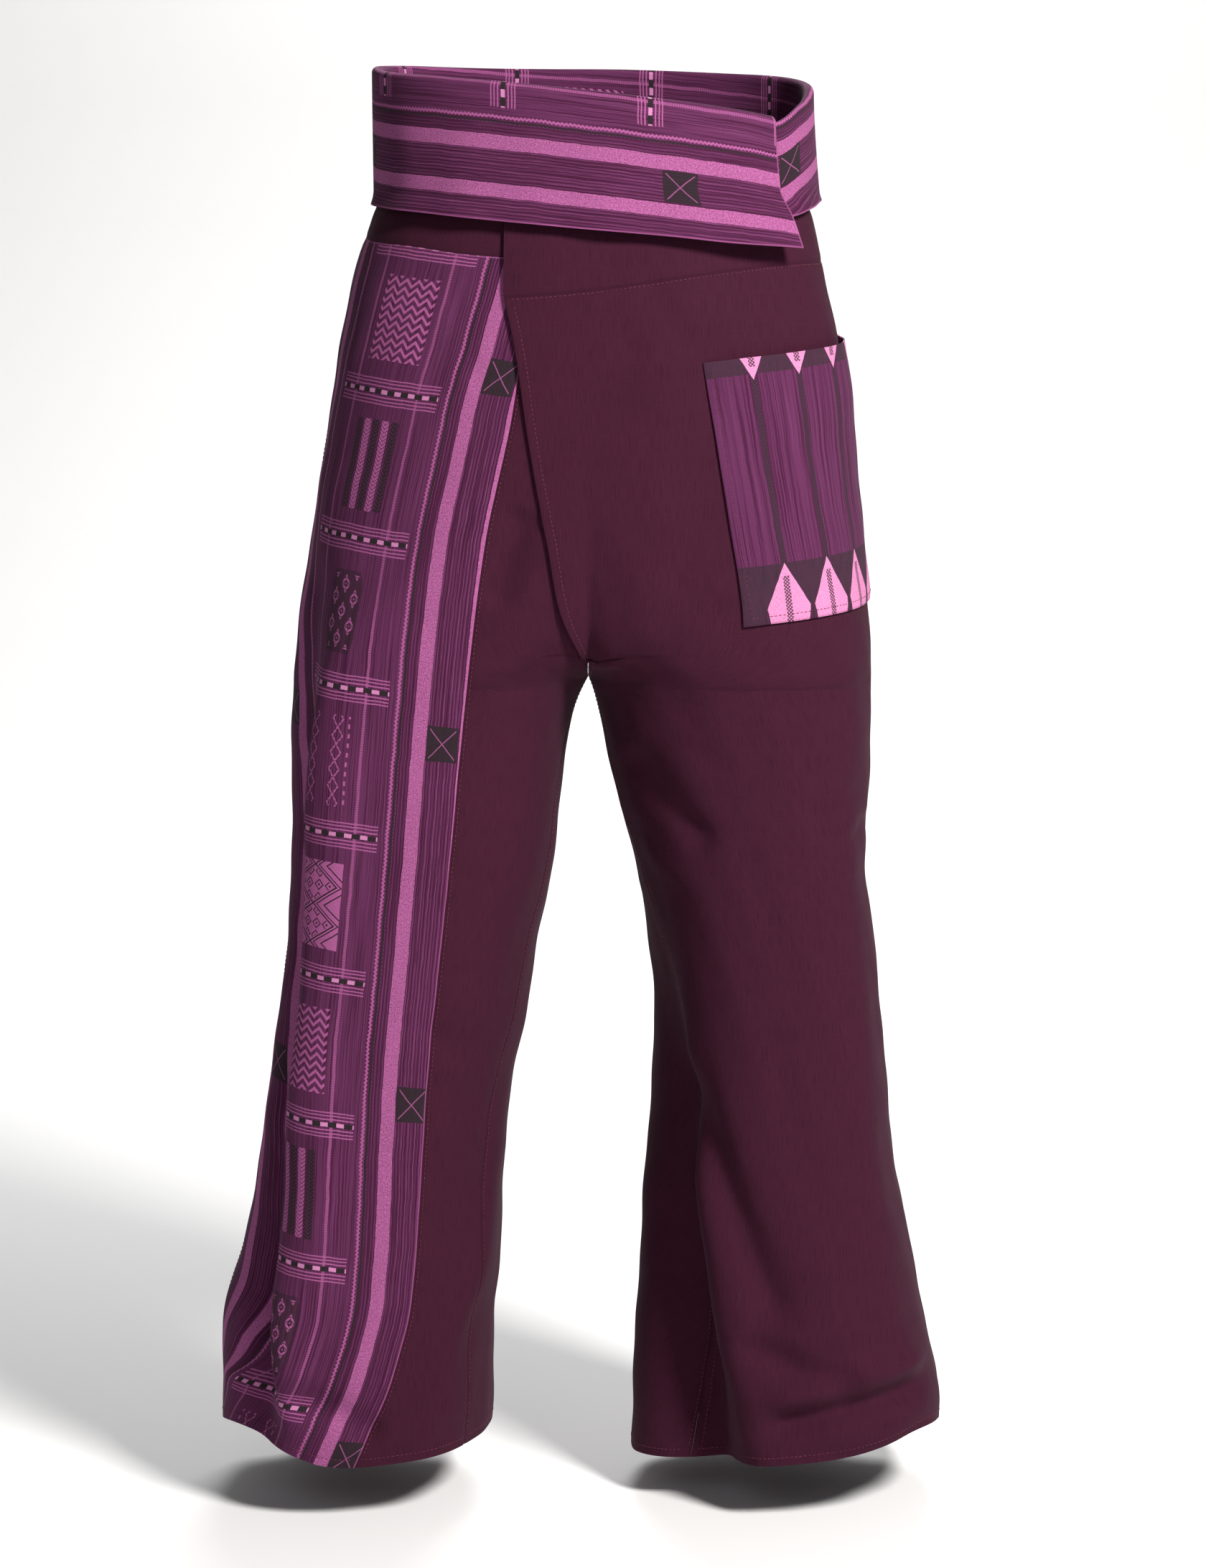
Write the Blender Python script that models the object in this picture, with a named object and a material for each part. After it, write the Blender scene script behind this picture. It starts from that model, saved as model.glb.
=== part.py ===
# Thai fisherman pants, worn: a wide wrap waist folded down over its tie, and two wide legs.
# Metres, +Z up. The front faces -Y and the wearer's right leg is on -X.
# The origin is the middle of the waist, at the height of the tie that holds the pants up.

import math

import bpy
import numpy as np

# Driving dimensions
wall = 0.0015  # thickness of the cloth wall
inner_square = 2.2  # squareness of a leg's inner side
seam_gap = 0.0003  # between two pieces at a seam
half_gap = 0.0002  # each leg keeps this far from the middle plane
crotch_z = -0.404
wrap_start = -0.380  # the two fronts lie on each other above this height
wrap_lift = 0.0034  # how far the outer front lies above the inner one
strip_width = 0.211  # the woven strip down the right leg
pocket_lift = 0.0016  # from the leg to the back of the pocket
pocket_wall = 0.0015
tie_height = 0.024
tie_wall = 0.0012
tie_lift = 0.0004
band_join_z = -0.036  # hidden seam between the turned-down band and the yoke

right, left = -1, 1

# Cross-sections of each half, from the waist down. A section is a superellipse round a leg's own
# centre: how far it reaches outwards from the middle plane, where its centre is, its depth in
# front and behind, and how square its corners are. Above the crotch the two halves are cut by
# the middle plane, where they meet.
section_columns = ("z", "outer", "centre", "front", "back", "square")
section_rows = {
    right: (
        (0.060, 0.154, 0.0000, 0.103, 0.114, 2.2),
        (-0.040, 0.154, 0.0000, 0.103, 0.114, 2.2),
        (-0.062, 0.161, 0.0000, 0.107, 0.119, 2.3),
        (-0.090, 0.172, 0.0000, 0.112, 0.126, 2.3),
        (-0.150, 0.185, 0.0080, 0.119, 0.136, 2.4),
        (-0.210, 0.195, 0.0200, 0.123, 0.141, 2.4),
        (-0.270, 0.204, 0.0340, 0.125, 0.141, 2.5),
        (-0.330, 0.214, 0.0580, 0.125, 0.137, 2.6),
        (-0.360, 0.218, 0.0790, 0.124, 0.134, 2.7),
        (-0.385, 0.220, 0.0970, 0.123, 0.131, 2.8),
        (-0.404, 0.222, 0.1110, 0.122, 0.129, 2.8),
        (-0.450, 0.224, 0.1200, 0.120, 0.126, 2.9),
        (-0.540, 0.225, 0.1255, 0.117, 0.122, 3.0),
        (-0.600, 0.229, 0.1335, 0.115, 0.120, 3.0),
        (-0.660, 0.236, 0.1415, 0.114, 0.120, 3.0),
        (-0.720, 0.245, 0.1520, 0.113, 0.121, 3.0),
        (-0.780, 0.252, 0.1585, 0.113, 0.123, 2.9),
        (-0.840, 0.265, 0.1660, 0.115, 0.125, 2.8),
        (-0.900, 0.280, 0.1765, 0.118, 0.127, 2.7),
        (-0.960, 0.281, 0.1775, 0.120, 0.128, 2.6),
        (-1.020, 0.280, 0.1790, 0.121, 0.128, 2.6),
    ),
    left: (
        (0.060, 0.161, 0.0000, 0.103, 0.114, 2.2),
        (-0.040, 0.161, 0.0000, 0.103, 0.114, 2.2),
        (-0.062, 0.168, 0.0000, 0.107, 0.119, 2.3),
        (-0.090, 0.174, 0.0000, 0.112, 0.126, 2.3),
        (-0.150, 0.187, 0.0080, 0.119, 0.136, 2.4),
        (-0.210, 0.196, 0.0200, 0.123, 0.141, 2.4),
        (-0.270, 0.201, 0.0340, 0.125, 0.141, 2.5),
        (-0.330, 0.208, 0.0580, 0.125, 0.137, 2.6),
        (-0.360, 0.211, 0.0770, 0.124, 0.134, 2.7),
        (-0.385, 0.212, 0.0940, 0.123, 0.131, 2.8),
        (-0.404, 0.213, 0.1065, 0.122, 0.129, 2.8),
        (-0.450, 0.213, 0.1125, 0.120, 0.126, 2.9),
        (-0.540, 0.209, 0.1210, 0.117, 0.122, 3.0),
        (-0.600, 0.216, 0.1295, 0.115, 0.120, 3.0),
        (-0.660, 0.222, 0.1350, 0.114, 0.120, 3.0),
        (-0.720, 0.227, 0.1370, 0.113, 0.121, 3.0),
        (-0.780, 0.234, 0.1380, 0.113, 0.123, 2.9),
        (-0.840, 0.247, 0.1430, 0.115, 0.125, 2.8),
        (-0.900, 0.258, 0.1470, 0.118, 0.127, 2.7),
        (-0.960, 0.270, 0.1515, 0.120, 0.128, 2.6),
        (-1.020, 0.270, 0.1510, 0.121, 0.128, 2.6),
    ),
}

# Long folds that run down a leg. The angle is round the leg's centre, in degrees: -90 is the
# front, 0 the outer side, 90 the back and 180 the inner side. Depth is outwards, so a trough is
# negative. Each fold has one width, in degrees.
fold_columns = ("z", "angle", "depth")
long_folds = (
    # right leg, the pressed ridge down the strip and the deep trough beside it
    (right, 9, ((-0.30, -58, 0.0), (-0.45, -55, 0.004), (-0.66, -58, 0.006),
                (-0.80, -64, 0.009), (-0.92, -67, 0.007), (-0.99, -66, 0.0))),
    (right, 15, ((-0.50, -38, 0.0), (-0.62, -38, -0.008), (-0.74, -42, -0.020),
                 (-0.86, -46, -0.034), (-0.94, -47, -0.022), (-0.99, -46, -0.006))),
    # right leg, soft ridge inside the shin
    (right, 12, ((-0.70, -165, 0.0), (-0.82, -148, 0.005), (-0.91, -130, 0.007),
                 (-0.99, -125, 0.003))),
    # left leg, the deep trough at the inner front and the ridge beside it
    (left, 12, ((-0.56, -146, 0.0), (-0.68, -136, 0.003), (-0.80, -124, 0.006),
                (-0.90, -113, 0.006), (-0.99, -100, 0.005))),
    (left, 19, ((-0.56, -166, 0.0), (-0.68, -157, -0.009), (-0.80, -147, -0.018),
                (-0.90, -139, -0.026), (-0.99, -129, -0.027))),
    # left leg, the pressed crease at the outer front
    (left, 9, ((-0.36, -46, 0.0), (-0.50, -45, 0.003), (-0.80, -46, 0.003), (-0.93, -46, 0.0))),
    # behind both legs
    (right, 13, ((-0.42, 92, 0.0), (-0.58, 98, -0.010), (-0.80, 112, -0.018), (-1.0, 118, -0.016))),
    (right, 12, ((-0.55, 62, 0.0), (-0.72, 66, 0.006), (-0.90, 70, 0.012), (-1.0, 72, 0.012))),
    (left, 13, ((-0.45, 80, 0.0), (-0.62, 74, -0.010), (-0.82, 66, -0.020), (-1.0, 60, -0.018))),
    (left, 12, ((-0.55, 112, 0.0), (-0.75, 116, 0.007), (-0.90, 122, 0.012), (-1.0, 126, 0.010))),
)

# Shorter folds across the front of a leg, from one end to the other, as distance from the middle
# plane and height, with a half width and a depth.
cross_columns = ("x0", "z0", "x1", "z1", "width", "depth")
cross_folds = {
    right: (
        (0.045, -0.270, 0.070, -0.345, 0.014, -0.005),
        (0.225, -0.925, 0.150, -0.965, 0.012, -0.006),
    ),
    left: (
        (0.058, -0.680, 0.150, -0.890, 0.016, -0.010),
        (0.112, -0.893, 0.205, -0.928, 0.013, -0.007),
        (0.128, -0.956, 0.258, -0.930, 0.009, -0.010),
        (0.130, -0.936, 0.258, -0.910, 0.010, 0.007),
        (0.030, -0.450, 0.090, -0.530, 0.014, -0.005),
    ),
}

# The wrap: how far the outer front reaches over the right half, as a distance from the middle
# plane, and how far the inner front goes on beneath it, as a length of cloth.
wrap_columns = ("z", "over", "under")
wrap_rows = (
    (-0.385, 0.000, 0.000),
    (-0.375, 0.007, 0.007),
    (-0.345, 0.021, 0.016),
    (-0.300, 0.029, 0.024),
    (-0.230, 0.042, 0.036),
    (-0.160, 0.052, 0.046),
    (-0.095, 0.066, 0.052),
    (-0.030, 0.080, 0.056),
)

# Where the woven strip's front edge crosses the front of the right leg.
strip_columns = ("z", "x")
strip_rows = (
    (-0.99, 0.176), (-0.92, 0.146), (-0.86, 0.131), (-0.70, 0.119), (-0.55, 0.103),
    (-0.40, 0.088), (-0.30, 0.075), (-0.20, 0.054), (-0.07, 0.036),
)

# How far the inseam has swung forwards of the inner side.
inseam_columns = ("z", "forward")
inseam_rows = ((-1.0, 0.080), (-0.75, 0.070), (-0.55, 0.042), (-0.46, 0.024), (-0.404, 0.0))

# Heights round the waist. A turn is 0 at the middle of the front, 0.25 at the wearer's left
# side, 0.5 behind and 0.75 at the right side. Below 0 and above 1 two layers lie on each other.
# The top fold, the band's lower edge, how far that edge stands off, and the yoke's lower seam.
waist_columns = ("turn", "top", "edge", "stand", "seam")
waist_rows = (
    (-0.09, 0.002, -0.056, 0.0072, -0.122),
    (0.00, 0.003, -0.060, 0.0072, -0.115),
    (0.06, 0.003, -0.062, 0.0072, -0.107),
    (0.11, 0.004, -0.063, 0.0072, -0.100),
    (0.16, 0.007, -0.062, 0.0072, -0.095),
    (0.20, 0.022, -0.054, 0.0100, -0.093),
    (0.25, 0.038, -0.047, 0.0125, -0.092),
    (0.35, 0.050, -0.046, 0.0070, -0.088),
    (0.50, 0.056, -0.048, 0.0070, -0.085),
    (0.65, 0.056, -0.049, 0.0065, -0.079),
    (0.75, 0.052, -0.049, 0.0060, -0.074),
    (0.80, 0.046, -0.053, 0.0075, -0.078),
    (0.86, 0.041, -0.058, 0.0095, -0.083),
    (0.91, 0.037, -0.063, 0.0120, -0.089),
    (1.00, 0.029, -0.071, 0.0145, -0.094),
    (1.06, 0.023, -0.076, 0.0165, -0.097),
    (1.11, 0.018, -0.081, 0.0190, -0.098),
    (1.16, 0.012, -0.084, 0.0220, -0.099),
)
band_start, band_end = -0.09, 1.16
band_top_out = 0.0070  # outside of the inner flap, from the waist's own outline
band_top_out_wrapped = 0.0092  # the same for the outer flap
tie_z = -0.019

# Height of the hem round each leg. The share is 0 inside, 0.25 in front, 0.5 outside, 0.75 behind.
hem_columns = ("share", "z")
hem_rows = {
    right: ((0.0, -0.978), (0.12, -0.980), (0.25, -0.986), (0.33, -0.973), (0.40, -0.966),
            (0.48, -0.974), (0.60, -0.986), (0.75, -1.000), (0.88, -0.994), (1.0, -0.978)),
    left: ((0.0, -1.000), (0.10, -0.994), (0.22, -0.985), (0.30, -0.979), (0.40, -0.966),
           (0.48, -0.974), (0.60, -0.986), (0.75, -1.000), (0.90, -1.006), (1.0, -1.000)),
}

# Corners of the pocket on the left leg: distance from the middle plane in front, and height.
pocket_top_front = (0.083, -0.167)
pocket_low_front = (0.113, -0.358)
pocket_width = 0.200
pocket_rise = 0.020  # the back corners are this much higher
pocket_mouth = 0.0030  # the open top edge stands this much further off

# Heights of a leg's rows, at the middle plane or the inseam and round the rest of the leg. Just
# above the crotch the rows fan out from the curve on which the two halves meet.
level_columns = ("middle", "round")
level_rows = (
    (-0.100, -0.100), (-0.125, -0.125), (-0.160, -0.160), (-0.200, -0.200), (-0.245, -0.243),
    (-0.290, -0.286), (-0.325, -0.321), (-0.350, -0.344), (-0.375, -0.365), (-0.385, -0.381),
    (-0.393, -0.395), (-0.399, -0.408), (-0.4025, -0.420), (-0.404, -0.432), (-0.418, -0.445),
    (-0.440, -0.461), (-0.480, -0.490), (-0.530, -0.533), (-0.580, -0.580), (-0.630, -0.630),
    (-0.680, -0.680), (-0.730, -0.730), (-0.780, -0.780), (-0.825, -0.825), (-0.865, -0.865),
    (-0.900, -0.900), (-0.930, -0.930), (-0.960, -0.960), (-0.990, -0.990),
)
top_rows, hem_blend_rows = 3, 4

cloth_colours = {
    "dark": (0.068, 0.018, 0.040, 1.0),
    "woven": (0.150, 0.036, 0.115, 1.0),
}


def table(columns, rows):
    """Named columns of a table, with its rows in rising order of the first column."""
    values = np.array(sorted(rows), float)
    return dict(zip(columns, values.T))


def curve(x, knots, heights):
    """A smooth curve through the table's points that never overshoots them."""
    step = np.diff(knots)
    slope = np.diff(heights) / step
    middle = np.where(slope[1:] * slope[:-1] > 0,
                      2 * slope[1:] * slope[:-1] / (slope[1:] + slope[:-1] + 1e-30), 0.0)
    tangent = np.concatenate([slope[:1], middle, slope[-1:]])
    x = np.clip(x, knots[0], knots[-1])
    i = np.clip(np.searchsorted(knots, x, side="right") - 1, 0, len(step) - 1)
    t = (x - knots[i]) / step[i]
    return ((2 * t**3 - 3 * t**2 + 1) * heights[i] + (t**3 - 2 * t**2 + t) * step[i] * tangent[i]
            + (3 * t**2 - 2 * t**3) * heights[i + 1] + (t**3 - t**2) * step[i] * tangent[i + 1])


def smooth_step(x):
    x = np.clip(x, 0.0, 1.0)
    return x * x * (3 - 2 * x)


sections = {side: table(section_columns, rows) for side, rows in section_rows.items()}
wrap = table(wrap_columns, wrap_rows)
strip = table(strip_columns, strip_rows)
inseam = table(inseam_columns, inseam_rows)
waist = table(waist_columns, waist_rows)
hems = {side: table(hem_columns, rows) for side, rows in hem_rows.items()}
levels = dict(zip(level_columns, np.array(level_rows).T))


def section(side, z):
    """Reach, centre, depths and squareness of one half at a height, and the angle it is cut at."""
    rows = sections[side]
    outer, centre, front, back, square = (curve(z, rows["z"], rows[name])
                                          for name in section_columns[1:])
    width = outer - centre
    share = np.clip(centre / width, 0.0, 1.0)
    share = np.where(z <= crotch_z, 1.0, share)
    cut = np.arctan2((1 - share**inner_square) ** (1 / inner_square), -share)
    return centre, width, front, back, square, cut


def on_section(side, angle, z):
    centre, width, front, back, square, _ = section(side, z)
    cos, sin = np.cos(angle), np.sin(angle)
    power = np.where(cos > 0, square, inner_square)
    reach = (np.abs(cos)**power + np.abs(sin)**power) ** (-1 / power)
    x = side * (half_gap + np.maximum(centre + width * reach * cos, 0.0))
    y = np.where(sin < 0, front, back) * reach * sin
    return np.stack([x, y, np.broadcast_to(z, np.shape(x))], axis=-1)


# Where a length of cloth, measured round a section, puts an angle. The lengths are tabled on a
# grid of heights that is close-set above the crotch, where the sections change fastest.
height_grid = np.unique(np.concatenate([
    np.linspace(-1.03, crotch_z, 70), crotch_z + 0.10 * np.linspace(0, 1, 40)**2,
    np.linspace(crotch_z + 0.10, 0.07, 40)]))
share_grid = np.linspace(0, 1, 241)


def arc_tables(side):
    turns, lengths, to_side = [], [], []
    steps = np.linspace(-1, 1, 1441)
    for z in height_grid:
        cut = section(side, np.array(z))[-1]
        points = on_section(side, cut * steps, np.full(len(steps), z))
        run = np.concatenate([[0], np.cumsum(np.linalg.norm(np.diff(points, axis=0), axis=1))])
        turns.append(np.interp(share_grid, run / run[-1], steps))
        lengths.append(run[-1])
        to_side.append(np.interp(0.0, steps, run))
    return np.array(turns), np.array(lengths), np.array(to_side)


arcs = {side: arc_tables(side) for side in (right, left)}


def arc_length(side, z):
    """Cloth from the middle of the front round the outer side to the middle of the back."""
    return np.interp(z, height_grid, arcs[side][1])


def outer_line(side, z):
    """Cloth from the middle of the front to the outermost line of the leg."""
    return np.interp(z, height_grid, arcs[side][2])


def angle_at(side, along, z):
    turns = arcs[side][0]
    share = np.clip(along / arc_length(side, z), 0, 1)
    row = np.clip(np.searchsorted(height_grid, z) - 1, 0, len(height_grid) - 2)
    up = np.clip((z - height_grid[row]) / (height_grid[row + 1] - height_grid[row]), 0, 1)
    column = np.minimum((share * (len(share_grid) - 1)).astype(int), len(share_grid) - 2)
    across = share * (len(share_grid) - 1) - column
    low = turns[row, column] * (1 - across) + turns[row, column + 1] * across
    high = turns[row + 1, column] * (1 - across) + turns[row + 1, column + 1] * across
    return (low * (1 - up) + high * up) * section(side, z)[-1]


def place(side, along, z):
    """The half and the angle at a length of cloth from the middle of the front. Below the crotch
    a leg closes on itself, and above it the count runs on into the other half."""
    along, z = np.broadcast_arrays(np.asarray(along, float), np.asarray(z, float))
    length, other = arc_length(side, z), arc_length(-side, z)
    closed = z <= crotch_z
    angle = angle_at(side, np.where(closed, along % length, along), z)
    before, beyond = ~closed & (along < 0), ~closed & (along > length)
    angle = np.where(before, angle_at(-side, -along, z), angle)
    angle = np.where(beyond, angle_at(-side, other - (along - length), z), angle)
    return np.where(before | beyond, -side, side), angle


def surface(half, angle, z):
    here = [on_section(side, angle, z) for side in (right, left)]
    return np.where((half == right)[..., None], here[0], here[1])


def unit(vectors):
    return vectors / (np.linalg.norm(vectors, axis=-1, keepdims=True) + 1e-12)


def normal_of(shape, half, angle, z):
    turn, rise = 0.012, 0.0015
    across = shape(half, angle + turn, z) - shape(half, angle - turn, z)
    up = shape(half, angle, z + rise) - shape(half, angle, z - rise)
    return unit(half[..., None] * np.cross(across, up))


def outline_point(side, along, z):
    half, angle = place(side, along, z)
    return surface(half, angle, np.broadcast_to(z, half.shape))


def fold_depth(half, angle, z, points):
    """How far the cloth stands out of the plain section, from all the folds."""
    degrees = np.degrees(angle)
    depth = np.zeros(np.shape(z))
    for side, width, rows in long_folds:
        rows = table(fold_columns, rows)
        away = (degrees - curve(z, rows["z"], rows["angle"]) + 180) % 360 - 180
        swell = np.where(z > rows["z"][-1], 0.0, curve(z, rows["z"], rows["depth"]))
        depth += np.where(half == side, swell * np.exp(-(away / width)**2), 0.0)
    facing = smooth_step(-points[..., 1] / 0.06)
    for side, rows in cross_folds.items():
        for row in rows:
            fold = dict(zip(cross_columns, row))
            run = np.array([fold["x1"] - fold["x0"], fold["z1"] - fold["z0"]])
            dx, dz = side * points[..., 0] - fold["x0"], z - fold["z0"]
            share = np.clip((dx * run[0] + dz * run[1]) / (run @ run), 0, 1)
            away = np.hypot(dx - share * run[0], dz - share * run[1])
            ends = smooth_step(np.minimum(share, 1 - share) / 0.2 + 0.15)
            swell = fold["depth"] * ends * facing * np.exp(-(away / fold["width"])**2)
            depth += np.where(half == side, swell, 0.0)
    middle = smooth_step(np.abs(points[..., 0]) / 0.03)
    return depth * (1 - (1 - middle) * smooth_step((z - crotch_z + 0.06) / 0.06))


def folded(half, angle, z):
    points = surface(half, angle, z)
    depth = fold_depth(half, angle, z, points)
    return points + normal_of(surface, half, angle, z) * depth[..., None]


def cloth_with_normals(side, along, z, lift):
    """Points of the cloth's outer face, and the outward normals there. Near the middle plane the
    two halves share their normals, so that a layer lies smoothly over both."""
    half, angle = place(side, along, z)
    z = np.broadcast_to(z, half.shape)
    points = folded(half, angle, z)
    normals = normal_of(folded, half, angle, z)
    shared = 1 - smooth_step(np.abs(points[..., 0]) / 0.035)
    normals[..., 0] *= 1 - shared * smooth_step((z - crotch_z) / 0.017)
    normals = unit(normals)
    return points + normals * np.broadcast_to(lift, half.shape)[..., None], normals


def over_reach(z):
    return np.where(z > wrap_start, curve(z, wrap["z"], wrap["over"]), 0.0)


def under_reach(z):
    return np.where(z > wrap_start, curve(z, wrap["z"], wrap["under"]), 0.0)


def inseam_at(z):
    return np.where(z <= crotch_z, curve(z, inseam["z"], inseam["forward"]), 0.0)


def along_at_x(side, x, z):
    """Length of cloth, from the middle of the front, at which the front is x from the middle."""
    x, z = np.broadcast_arrays(np.asarray(x, float), np.asarray(z, float))
    found = []
    for reach, height in zip(x.ravel(), z.ravel()):
        tries = np.linspace(0, arc_length(side, height) / 2, 300)
        found.append(np.interp(reach, np.abs(outline_point(side, tries, height)[:, 0]), tries))
    return np.array(found).reshape(x.shape)


def yoke_seam(side, along, z):
    """Height of the yoke's lower seam at a length of cloth round one half."""
    share = along / (2 * arc_length(side, z))
    turn = np.where(side == left, share, 1 - share)
    return curve(turn, waist["turn"], waist["seam"])


def leg_heights(side, across):
    """Heights of a leg's points, whose places are lengths of cloth from the outer side. The
    first row follows the yoke's seam and the last one the hem."""
    count = len(level_rows)
    rows = np.arange(count)[:, None]
    middle = levels["middle"][:, None]
    reach = np.where(across < 0, outer_line(side, middle),
                     arc_length(side, middle) - outer_line(side, middle))
    away = smooth_step((1 - np.abs(across) / reach) / 0.40)
    level = middle * (1 - away) + levels["round"][:, None] * away
    seam = level[:1]
    for _ in range(2):
        seam = yoke_seam(side, across[:1] + outer_line(side, seam), seam) - seam_gap
    share = ((across[-1:] + outer_line(side, level[-1:])) / arc_length(side, level[-1:])) % 1.0
    hem = curve(share, hems[side]["share"], hems[side]["z"])
    top_pull = np.clip(1 - rows / top_rows, 0, 1)
    hem_pull = smooth_step(1 - (count - 1 - rows) / hem_blend_rows)
    return level + (seam - level[:1]) * top_pull + (hem - level[-1:]) * hem_pull


def leg_grid(side, edges, counts):
    """Lengths of cloth and heights of a panel's points. The edges are functions of height, from
    front to back, with so many columns from each to the next."""
    lines = []
    for edge in edges:
        z = levels["middle"]
        for _ in range(4):
            across = edge(z) - outer_line(side, z)
            z = leg_heights(side, across[:, None])[:, 0]
        lines.append(across[:, None])
    columns = [lines[0]]
    for first, second, count in zip(lines[:-1], lines[1:], counts):
        share = np.linspace(0, 1, count + 1)[1:]
        columns.append(first * (1 - share) + second * share)
    columns = np.hstack(columns)
    z = leg_heights(side, columns)
    return columns + outer_line(side, z), z


def open_front(z):
    """Whether a height lies above the point where the two fronts start to overlap."""
    return z > wrap_start


def beside_inseam(z):
    """End of the close-set columns next to the front's middle seam or the inseam."""
    return inseam_at(z) + 0.025 + 0.035 * smooth_step((crotch_z - z) / 0.10)


def wall_mesh(name, outer, normals, thickness, colour):
    """A closed wall between a grid of points and the same grid moved inwards."""
    inner = outer - normals * thickness
    rows, columns = outer.shape[:2]
    points = np.concatenate([outer.reshape(-1, 3), inner.reshape(-1, 3)])
    index = np.arange(rows * columns).reshape(rows, columns)
    a, b, c, d = index[:-1, :-1], index[:-1, 1:], index[1:, 1:], index[1:, :-1]
    faces = [np.stack(t, axis=-1).reshape(-1, 3) for t in ((a, b, c), (a, c, d))]
    shift = rows * columns
    faces += [t[:, ::-1] + shift for t in faces]
    rim = np.concatenate([index[0, :-1], index[:-1, -1], index[-1, :0:-1], index[:0:-1, 0]])
    after = np.roll(rim, -1)
    faces += [np.stack([after, rim, rim + shift], axis=-1),
              np.stack([after, rim + shift, after + shift], axis=-1)]
    return add_object(name, points, np.concatenate(faces), colour)


def swept_mesh(name, rings, colour, closed=False):
    """A closed solid through rings of points that all have the same count."""
    count, size = rings.shape[:2]
    points = rings.reshape(-1, 3)
    index = np.arange(count * size).reshape(count, size)
    nxt = np.roll(index, -1, axis=0) if closed else index[1:]
    here = index if closed else index[:-1]
    a, b = here, np.roll(here, -1, axis=1)
    d, c = nxt, np.roll(nxt, -1, axis=1)
    faces = [np.stack(t, axis=-1).reshape(-1, 3) for t in ((a, b, c), (a, c, d))]
    if not closed:
        half = size // 2
        for ring, flip in ((index[0], True), (index[-1], False)):
            for k in range(half - 1):
                quad = (ring[k], ring[k + 1], ring[size - 2 - k], ring[size - 1 - k])
                cap = np.array([(quad[0], quad[1], quad[2]), (quad[0], quad[2], quad[3])])
                faces.append(cap[:, ::-1] if flip else cap)
    return add_object(name, points, np.concatenate(faces), colour)


def add_object(name, points, faces, colour):
    corners = points[faces]
    volume = np.einsum("ij,ij->", corners[:, 0], np.cross(corners[:, 1], corners[:, 2]))
    if volume < 0:
        faces = faces[:, ::-1]
    mesh = bpy.data.meshes.new(name)
    mesh.from_pydata(points.tolist(), [], faces.tolist())
    mesh.shade_smooth()
    mesh.set_sharp_from_angle(angle=math.radians(50))
    mesh.materials.append(cloth_material(colour))
    made = bpy.data.objects.new(name, mesh)
    bpy.context.scene.collection.objects.link(made)
    return made


def cloth_material(colour):
    made = bpy.data.materials.get(colour)
    if made is None:
        made = bpy.data.materials.new(colour)
        made.use_nodes = True
        shader = made.node_tree.nodes["Principled BSDF"]
        shader.inputs["Base Color"].default_value = cloth_colours[colour]
        shader.inputs["Roughness"].default_value = 0.88
        shader.inputs["Metallic"].default_value = 0.0
    return made


def build_panel(name, side, edges, counts, colour, lift=None):
    along, z = leg_grid(side, edges, counts)
    outer, normals = cloth_with_normals(side, along, z, 0.0 if lift is None else lift(along, z))
    wall_mesh(name, outer, normals, wall, colour)


def right_front_start(z):
    return np.where(open_front(z), -under_reach(z), inseam_at(z) + seam_gap / 2)


def right_front_near(z):
    near = np.where(open_front(z), along_at_x(right, over_reach(z), z), beside_inseam(z))
    return np.minimum(near, strip_front(z) - 0.012)


def strip_front(z):
    """The woven strip's front edge, as a length of cloth round the right leg."""
    return along_at_x(right, curve(z, strip["z"], strip["x"]), z)


def strip_back(z):
    return strip_front(z) + strip_width


def leg_end(side, z):
    return arc_length(side, z) + inseam_at(z) - seam_gap / 2


right_panels = (
    ("right_front", "dark", (4, 8),
     (right_front_start, right_front_near, lambda z: strip_front(z) - seam_gap / 2)),
    ("right_strip", "woven", (16,),
     (lambda z: strip_front(z) + seam_gap / 2, lambda z: strip_back(z) - seam_gap / 2)),
    ("right_back", "dark", (16,),
     (lambda z: strip_back(z) + seam_gap / 2, lambda z: leg_end(right, z))),
)


def build_right_leg():
    """Dark front, whose upper edge runs on beneath the left front, the woven strip over the
    outer side from the yoke to the hem, and the dark back."""
    for name, colour, counts, edges in right_panels:
        build_panel(name, right, edges, counts, colour)


def left_leg_start(z):
    over = along_at_x(right, over_reach(z), z)
    return np.where(open_front(z), -over, inseam_at(z) + seam_gap / 2)


def left_leg_near(z):
    return np.where(open_front(z), under_reach(z), beside_inseam(z))


left_leg_edges = (left_leg_start, left_leg_near, lambda z: 0.46 * arc_length(left, z),
                  lambda z: leg_end(left, z))
left_leg_counts = (4, 23, 16)


def front_lift(along, z):
    """The left front lies on the right one near the middle, and comes down beside it."""
    clear = under_reach(z) + 0.012
    near = smooth_step((clear + 0.045 - along) / 0.045)
    steep = 1 + 0.7 * smooth_step((-0.330 - z) / 0.040)
    return wrap_lift * steep * near * smooth_step((z - wrap_start + 0.013) / 0.008)


def build_left_leg():
    """Left leg in one piece, from the wrap's edge round the outer side to the middle behind."""
    build_panel("left_leg", left, left_leg_edges, left_leg_counts, "dark", front_lift)


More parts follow.
